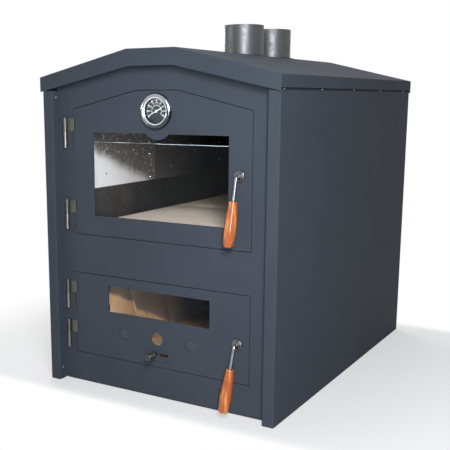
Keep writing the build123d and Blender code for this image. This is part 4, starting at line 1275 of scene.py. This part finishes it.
@dataclass
class Door:
    """One door: sheet, glass with its fixings, rope seal and hinge leaves."""

    level: str
    edge: float = 0.6
    glass_edge: float = 0.6
    rope_edge: float = 2.4
    rope_lumps: float = 0.5

    def build(self) -> None:
        """Model the door's fixed pieces."""
        body = f"{self.level}_door"
        dressed(f"{self.level}_door_plate", body, "casing_paint", CASING_PAINT, self.edge)
        self.build_glass(body)
        dress_all(body, (f"{self.level}_glass_clips", "clip_steel", CLIP_STEEL, 0.3),
                  (f"{self.level}_clip_screws", "screw_steel", SCREW_STEEL),
                  (f"{self.level}_seal_channel", "jacket_steel", CLIP_STEEL, 0.3),
                  (f"{self.level}_glass_tape", "tape", TAPE, 0.3),
                  (f"{self.level}_hinge_leaves", "hinge_steel", HINGE_STEEL, 0.5),
                  (f"{self.level}_latch_bush", "rod_steel", BOSS_STEEL, 0.3))
        self.build_rope(body)

    def build_glass(self, body: str) -> None:
        """Glass pane with ground edges, which catch the light and carry a painted highlight.

        Args:
            body: The body that carries it.
        """
        node = f"{self.level}_door_glass"
        piece = Piece.from_node(node).soften(self.glass_edge).flatten(length=60.0)
        piece.paint(PANE, PANE_EDGE)
        for face in piece.shape.data.polygons:
            face.material_index = 0 if abs(face.normal.y) > 0.99 else 1
        piece.mount(body, "pane", node)

    def build_rope(self, body: str) -> None:
        """Rope seal with rounded corners and a lumpy knit.

        Args:
            body: The body that carries it.
        """
        node = f"{self.level}_rope_seal"
        piece = Piece.from_node(node).soften(self.rope_edge, 3).roughen(5, 5.0, self.rope_lumps)
        piece.smooth(60.0).paint(ROPE).mount(body, "rope", node)


@dataclass
class Thermometer:
    """Dial thermometer on the upper door.

    Angles run clockwise from the top, in degrees. Ticks are given by length and width, the
    needle's waist by width and length.
    """

    bezel_radius: float = 38.7
    dial_opening: float = 27.3
    case_radius: float = 35.05
    tick_radius: float = 25.4
    tick_size: tuple[float, float] = (4.2, 2.3)
    minor_size: tuple[float, float] = (2.2, 0.5)
    minor_parts: int = 5
    arc_radius: float = 13.6
    figure_radius: float = 18.2
    figure_size: float = 4.86
    first_angle: float = -120.0
    figures: tuple[str, ...] = ("0", "50", "100", "150", "200", "250", "300", "350", "400")
    print_height: float = 0.12
    print_gap: float = 0.02
    needle_angle: float = 244.0
    needle_length: float = 23.0
    needle_tail: float = 14.5
    needle_waist: tuple[float, float] = (1.7, 3.0)
    needle_thickness: float = 0.45
    needle_height: float = 3.0
    middle: Vector = field(default_factory=lambda: centre("gauge_dial"))
    dial_front: float = field(default_factory=lambda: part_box("gauge_dial")[0].y)
    plate: float = field(default_factory=lambda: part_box("upper_door_plate")[0].y)

    def build(self) -> None:
        """Model the thermometer."""
        dress_all("upper_door", ("gauge_case", "chrome", CHROME, 0.2),
                  ("gauge_nut", "rod_steel", BUSH_STEEL), ("gauge_probe", "rod_steel", BUSH_STEEL),
                  ("gauge_lens", "pane", LENS, 0.2), ("gauge_dial", "dial_black", DIAL_BLACK, 0.1))
        self.build_bezel()
        self.build_scale()
        self.build_needle()

    def outwards(self, depth: float, roll: float = 0.0) -> Matrix:
        """Matrix from a piece that stands on Z to the dial's axis, facing the front.

        Args:
            depth: Place along Y, in metres.
            roll: Clockwise turn seen from the front, in degrees.

        Returns:
            The matrix.
        """
        place = Matrix.Translation((self.middle.x, depth, self.middle.z))
        turn = Matrix.Rotation(math.radians(roll), 4, "Y")
        return place @ turn @ Matrix.Rotation(math.radians(90), 4, "X")

    def build_bezel(self) -> None:
        """Stepped chrome bezel: sloping skirt, rounded crown and a thin inner ring, painted bright.
        """
        r, case, dial = self.bezel_radius, self.case_radius, self.dial_opening
        skirt = [(case, 0.6), (r - 1.6, 0.5), (r - 0.9, 0.9), (r - 0.3, 2.0), (r, 3.5)]
        crown = [(r - 0.1, 5.6), (r - 0.5, 7.2), (r - 1.3, 8.6), (r - 2.6, 9.8), (r - 4.2, 10.5),
                 (r - 6.0, 10.75), (r - 7.4, 10.6), (r - 8.2, 10.1), (r - 8.9, 9.4)]
        lip = [(dial + 1.6, 9.2), (dial + 0.9, 9.4), (dial + 0.3, 9.1), (dial, 8.6), (dial, 8.05),
               (case, 8.05)]
        piece = turned("gauge_bezel_ring", skirt + crown + lip, 96, ring=True)
        piece.settle(self.outwards(self.plate)).smooth(40.0)
        piece.paint(BEZEL_CHROME).mount("upper_door", "chrome", "gauge_bezel")

    def bar(self, length: float, width: float) -> Piece:
        """One tick of the scale, lying along Y with its outer end at the tick circle.

        Args:
            length: Length in millimetres.
            width: Width in millimetres.

        Returns:
            The tick, rounded at its corners.
        """
        Piece.nothing_selected()
        bpy.ops.mesh.primitive_plane_add(size=1.0)
        piece = Piece.added("tick_model")
        piece.settle(Matrix.Translation((0, (self.tick_radius - length / 2) * MM, 0))
                     @ Matrix.Diagonal((width * MM, length * MM, 1.0, 1.0)))
        with piece.editing(Pick.VERTEX):
            bpy.ops.mesh.select_all(action="SELECT")
            bpy.ops.mesh.bevel(offset=width * 0.25 * MM, affect="VERTICES", segments=2)
            bpy.ops.mesh.select_all(action="SELECT")
            bpy.ops.mesh.extrude_region_move(
                TRANSFORM_OT_translate={"value": (0, 0, self.print_height * MM)})
        return piece.outward()

    def build_scale(self) -> None:
        """Ticks and figures, raised by the thickness of the print."""
        long_tick, short_tick = self.bar(*self.tick_size), self.bar(*self.minor_size)
        inwards = Matrix.Translation((0, (self.arc_radius - self.tick_radius) * MM, 0))
        last = len(self.figures) - 1
        step = -2.0 * self.first_angle / last
        pieces = []
        for index in range(last * self.minor_parts + 1):
            angle = self.first_angle + index * step / self.minor_parts
            turn = Matrix.Rotation(math.radians(-angle), 4, "Z")
            tick = short_tick if index % self.minor_parts else long_tick
            pieces += [tick.copy(f"tick_{index}", turn),
                       short_tick.copy(f"inner_{index}", turn @ inwards)]
        pieces += [self.figure(text, self.first_angle + index * step)
                   for index, text in enumerate(self.figures)]
        long_tick.drop()
        short_tick.drop()
        scale = pieces[0].join(pieces[1:], "gauge_scale")
        scale.settle(self.outwards(self.dial_front + self.print_gap * MM)).paint(DIAL_WHITE)
        scale.mount("upper_door", "dial_black")

    def figure(self, text: str, angle: float) -> Piece:
        """One number of the scale.

        Args:
            text: The number.
            angle: Its place round the dial.

        Returns:
            The number as a mesh.
        """
        Piece.nothing_selected()
        bpy.ops.object.text_add()
        letters = bpy.context.active_object.data
        letters.body = text
        letters.align_x = letters.align_y = "CENTER"
        letters.size = self.figure_size * MM
        letters.extrude = self.print_height / 2 * MM
        letters.resolution_u = 2
        bpy.ops.object.convert(target="MESH")
        turn = math.radians(angle)
        place = Vector((math.sin(turn), math.cos(turn), 0)) * self.figure_radius
        place.z = self.print_height / 2
        return Piece.added("figure_" + text).settle(Matrix.Translation(place * MM))

    def build_needle(self) -> None:
        """Tapered needle with a hub and a counterweight, pointing at the cold end."""
        Piece.nothing_selected()
        bpy.ops.mesh.primitive_plane_add(size=1.0)
        blade = Piece.added("gauge_pointer")
        width, length = self.needle_waist
        blade.settle(Matrix.Diagonal((width * MM, length * MM, 1.0, 1.0)))
        point = ((6.0, 0.85), (self.needle_length - length / 2 - 6.0, 0.40))
        tail = ((5.0, 0.9), (3.0, 1.1), (self.needle_tail - length / 2 - 8.0, 1.5))
        for side, steps in ((1.0, point), (-1.0, tail)):
            for reach, scale in steps:
                edge = max(v.co.y * side for v in blade.shape.data.vertices)
                blade.choose_edges(lambda a, b, s=side, e=edge: min(a.y * s, b.y * s) > e - 1e-7)
                with blade.editing(Pick.EDGE):
                    bpy.ops.mesh.extrude_region_move(
                        TRANSFORM_OT_translate={"value": (0, side * reach * MM, 0)})
                    bpy.ops.transform.resize(value=(scale, 1.0, 1.0),
                                             center_override=(0, side * edge, 0))
        with blade.editing(Pick.FACE):
            bpy.ops.mesh.select_all(action="SELECT")
            bpy.ops.mesh.extrude_region_move(
                TRANSFORM_OT_translate={"value": (0, 0, self.needle_thickness * MM)})
        blade.outward().soften(0.12, 1)
        arbor = [(0.6, -1.9), (0.75, -1.7), (0.75, 0.0)]
        hub = [(2.8, 0.05), (3.0, 0.3), (2.9, 0.7), (2.3, 1.0), (1.3, 1.15), (0.3, 1.2)]
        blade.join([turned("pointer_hub", arbor + hub, 24)], "gauge_pointer")
        blade.settle(self.outwards(self.plate - self.needle_height * MM, self.needle_angle))
        blade.smooth(35.0).paint(NEEDLE_WHITE).mount("needle", "needle_white", "gauge_needle")


@dataclass
class Latch:
    """Turning latch of one door: bent lever, wooden grip, cam and nut."""

    level: str
    lean: float
    tilt: float = 6.0
    standoff: float = 16.0
    grip_start: float = 50.5
    grip_length: float = 97.5
    top_radius: float = 8.8
    belly_radius: float = 13.0
    end_radius: float = 10.0
    belly: float = 0.66
    edge_radius: float = 1.6
    steps: int = 24

    def build(self) -> None:
        """Model the latch."""
        body = f"{self.level}_latch"
        dress_all(body, (f"{body}_lever", "rod_steel", ROD_STEEL, 0.4, 50.0),
                  (f"{body}_cam", "rod_steel", BUSH_STEEL),
                  (f"{body}_nut", "screw_steel", SCREW_STEEL))
        self.build_grip(body)

    def radius_at(self, place: float) -> float:
        """Radius of the grip at a share of its length.

        Args:
            place: Share from the top, 0 to 1.

        Returns:
            The radius in millimetres.
        """
        if place < self.belly:
            rise = math.sin(math.pi / 2 * place / self.belly) ** 1.15
            return self.top_radius + (self.belly_radius - self.top_radius) * rise
        fall = 1.0 - math.cos(math.pi / 2 * (place - self.belly) / (1.0 - self.belly))
        return self.belly_radius - (self.belly_radius - self.end_radius) * fall

    def build_grip(self, body: str) -> None:
        """Turned grip with rounded ends and a shallow collar at the rod.

        Args:
            body: The body that carries it.
        """
        edge, length, top, low = (self.edge_radius, self.grip_length, self.top_radius,
                                  self.end_radius)
        profile = [(3.6, 0.9), (5.2, 0.35), (top - edge, 0.05)]
        profile += arc(top - edge, edge, edge, -90.0, 0.0, 4)[1:]
        places = [step / self.steps for step in range(1, self.steps)]
        profile += [(self.radius_at(place), place * length) for place in places
                    if edge < place * length < length - 2 * edge]
        profile += arc(low - 2 * edge, length - 2 * edge, 2 * edge, 0.0, 90.0, 5)
        profile += [(low * 0.5, length - 0.02), (low * 0.12, length)]
        piece = turned(f"{self.level}_grip_wood", profile, 40)
        tilt, lean = math.radians(self.tilt), math.radians(self.lean)
        direction = Vector((-math.sin(tilt) * math.cos(lean), -math.sin(lean),
                            -math.cos(tilt) * math.cos(lean)))
        corner = centre(f"{body}_bush")
        corner.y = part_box(f"{self.level}_door_plate")[0].y - self.standoff * MM
        piece.settle(facing(direction, corner + direction * self.grip_start * MM))
        node = f"{body}_grip"
        wood = replace(GRIP_WOOD, name=f"{self.level}_grip_wood", foot=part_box(node)[0].z)
        piece.smooth(40.0).paint(wood).mount(body, "grip_wood", node)


@dataclass
class AirSlide:
    """Air slide of the fire door with its grooved knob and guides."""

    knob_radius: float = 9.0
    knob_length: float = 24.0
    standoff: float = 9.0
    stem_radius: float = 3.0
    grooves: int = 4
    groove_depth: float = 1.2

    def build(self) -> None:
        """Model the slide, knob and guides."""
        dressed("air_slide", "slide", "casing_paint", SLIDE_PAINT, 0.3)
        dressed("slide_guides", "lower_door", "jacket_steel", JACKET_STEEL, 0.3)
        place = centre("slide_knob")
        place.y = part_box("slide_knob")[1].y
        start = (place.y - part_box("lower_door_plate")[0].y) / MM + self.standoff
        piece = turned("slide_pull_knob", self.profile(start), 40)
        piece.settle(facing(Vector((0, -1, 0)), place))
        piece.smooth(35.0).paint(KNOB_STEEL).mount("slide", "rod_steel", "slide_knob")

    def profile(self, start: float) -> list[tuple[float, float]]:
        """Outline of the stem and the knob.

        Args:
            start: Height at which the knob begins, in millimetres.

        Returns:
            Radius and height of each step.
        """
        r, core = self.knob_radius, self.knob_radius - self.groove_depth
        end = start + self.knob_length
        profile = [(2.7, 0.0), (self.stem_radius, 0.4), (self.stem_radius, start - 0.2),
                   (r - 0.8, start), (r, start + 0.7)]
        groove = ((r, -1.3), (r - 0.3, -1.0), (core, -0.8), (core, 0.8), (r - 0.3, 1.0), (r, 1.3))
        pitch = self.knob_length / (self.grooves + 1)
        for index in range(self.grooves):
            profile += [(radius, start + (index + 1) * pitch + rise) for radius, rise in groove]
        return profile + [(r, end - 2.0), (r - 0.4, end - 0.9), (r - 1.2, end - 0.25),
                          (r - 2.2, end), (r * 0.4, end), (r * 0.3, end - 0.5),
                          (r * 0.1, end - 0.6)]


@dataclass
class Hinges:
    """Lower hinge halves on the frame and their pins.

    Faces that lie within `barrel_reach` millimetres of a hinge's axis belong to its barrel.
    """

    barrel_reach: float = 4.6

    def build(self) -> None:
        """Model the fixed hinge halves: bright barrels, and leaves painted with the front."""
        halves = dressed("frame_hinge_halves", "casing", "hinge_paint", BARREL_STEEL, 0.5)
        halves.shape.data.materials.append(HINGE_PAINT.material())
        axes = [Vector(joint["pos_m"]).xy for joint in frame["joints"]
                if joint["name"].endswith("door_hinge")]
        for face in halves.shape.data.polygons:
            near = min((face.center.xy - axis).length for axis in axes)
            face.material_index = 0 if near < self.barrel_reach * MM else 1
        dressed("hinge_pins", "casing", "hinge_steel", BARREL_STEEL, 0.3, 50.0)


@dataclass(frozen=True)
class Lamp:
    """One soft area lamp: place, aim, and width and height in metres, and power in watts."""

    name: str
    place: Place
    aim: Place
    size: tuple[float, float]
    power: float
    colour: Colour = (1.0, 1.0, 1.0)

    def build(self) -> None:
        """Add the lamp."""
        data = bpy.data.lights.new(self.name, "AREA")
        data.shape = "RECTANGLE"
        data.size, data.size_y = self.size
        data.energy = self.power
        data.color = self.colour
        lamp = bpy.data.objects.new(self.name, data)
        lamp.location = self.place
        direction = Vector(self.aim) - Vector(self.place)
        lamp.rotation_euler = direction.to_track_quat("-Z", "Y").to_euler()
        bpy.context.scene.collection.objects.link(lamp)


COOL, WARM = (0.90, 1.0, 1.12), (1.02, 1.0, 0.96)
LAMPS = (
    Lamp("key_high", (0.80, -1.35, 1.15), (0.05, -0.4, 0.5), (0.30, 0.30), 17.5, COOL),
    Lamp("key_low", (1.20, -1.90, 0.98), (0.0, -0.4, 0.35), (0.14, 0.14), 9.0, WARM),
    Lamp("strip", (1.06, -1.95, 0.68), (0.1, -0.4, 0.48), (0.32, 1.20), 32.0, WARM),
    Lamp("left", (-2.50, -1.70, 0.90), (0.0, -0.4, 0.35), (0.22, 0.22), 12.0),
    Lamp("rear", (-2.40, 2.20, 0.90), (0.0, 0.3, 0.4), (1.2, 1.2), 42.0),
    Lamp("top", (-0.4, 0.8, 3.4), (0.0, 0.0, 0.4), (1.4, 1.4), 58.0),
)


@dataclass
class Studio:
    """Floor, light and camera.

    The floor shows a painted shadow near the oven: it is greyer there in any light, and this fades
    out over `fade` metres from the oven's sides, at `foot` metres from its middle, both given
    along X and Y.
    """

    camera_place: Place = (0.9564, -1.8794, 0.6786)
    yaw: float = 31.55
    pitch: float = 11.0
    lens: float = 64.1
    sensor: float = 36.0
    shift: tuple[float, float] = (0.102, 0.064)
    clip: tuple[float, float] = (0.01, 60.0)
    surround: float = 0.10
    floor_size: float = 24.0
    floor_tone: Colour = (0.55, 0.55, 0.55)
    floor_roughness: float = 0.85
    foot: tuple[float, float] = (0.30, 0.435)
    fade: tuple[float, float] = (0.62, 0.075)
    near_white: float = 0.49

    def build(self) -> None:
        """Set up the whole studio."""
        self.build_camera()
        self.build_floor()
        for lamp in LAMPS:
            lamp.build()
        self.build_world()
        bpy.context.scene.view_settings.view_transform = "Standard"

    def build_camera(self) -> None:
        """Camera at the photograph's place and angle."""
        data = bpy.data.cameras.new("camera")
        data.lens = self.lens
        data.sensor_width = self.sensor
        data.shift_x, data.shift_y = self.shift
        data.clip_start, data.clip_end = self.clip
        camera = bpy.data.objects.new("camera", data)
        camera.location = self.camera_place
        camera.rotation_euler = Euler((math.radians(90 - self.pitch), 0, math.radians(self.yaw)))
        bpy.context.scene.collection.objects.link(camera)
        bpy.context.scene.camera = camera

    def build_floor(self) -> None:
        """Pale floor with a painted shadow round the oven, fading to white away from it."""
        Piece.nothing_selected()
        bpy.ops.mesh.primitive_plane_add(size=self.floor_size, location=(0, 0, -0.5 * MM))
        floor = Piece.added("floor").settle()
        shader = Shader("floor_white")
        shader.feed(Base_Color=self.floor_tone, Roughness=self.floor_roughness)
        # Painted shadow: near the oven less of the white shows, so the floor stays greyer there.
        beside, before = ((abs(shader.axis(index)) - foot).at_least(0.0) / fade
                          for index, (foot, fade) in enumerate(zip(self.foot, self.fade)))
        far = (beside * beside + before * before).step(0.0, 1.0)
        white = shader.wire("Emission", 0, {"Color": WHITE, "Strength": 1.0})
        shader.blend(shader.direct() * (self.near_white + far * (1.0 - self.near_white)),
                     Wire(shader, shader.bsdf.outputs[0]), white, "Material Output")
        floor.shape.data.materials.append(shader.material)

    def build_world(self) -> None:
        """Even grey surround that the camera, gloss and glass see as white."""
        world = bpy.data.worlds.new("surround")
        world.use_nodes = True
        bpy.context.scene.world = world
        graph = Graph(world.node_tree)
        grey, white = graph.tree.nodes["Background"], graph.node("Background")
        for background, strength in ((grey, self.surround), (white, 1.0)):
            graph.plug(WHITE, background.inputs["Color"])
            graph.plug(strength, background.inputs["Strength"])
        graph.blend(graph.direct(), Wire(graph, grey.outputs[0]), Wire(graph, white.outputs[0]),
                    "World Output")


def main() -> None:
    """Build the oven and its studio."""
    logging.basicConfig(level=logging.INFO, format="%(name)s: %(message)s")
    Studio().build()
    Casing().build()
    Interior().build()
    Hinges().build()
    for level in ("upper", "lower"):
        Door(level).build()
    Thermometer().build()
    Latch("upper", lean=2.0).build()
    Latch("lower", lean=7.0).build()
    AirSlide().build()


if __name__ == "__main__":
    main()
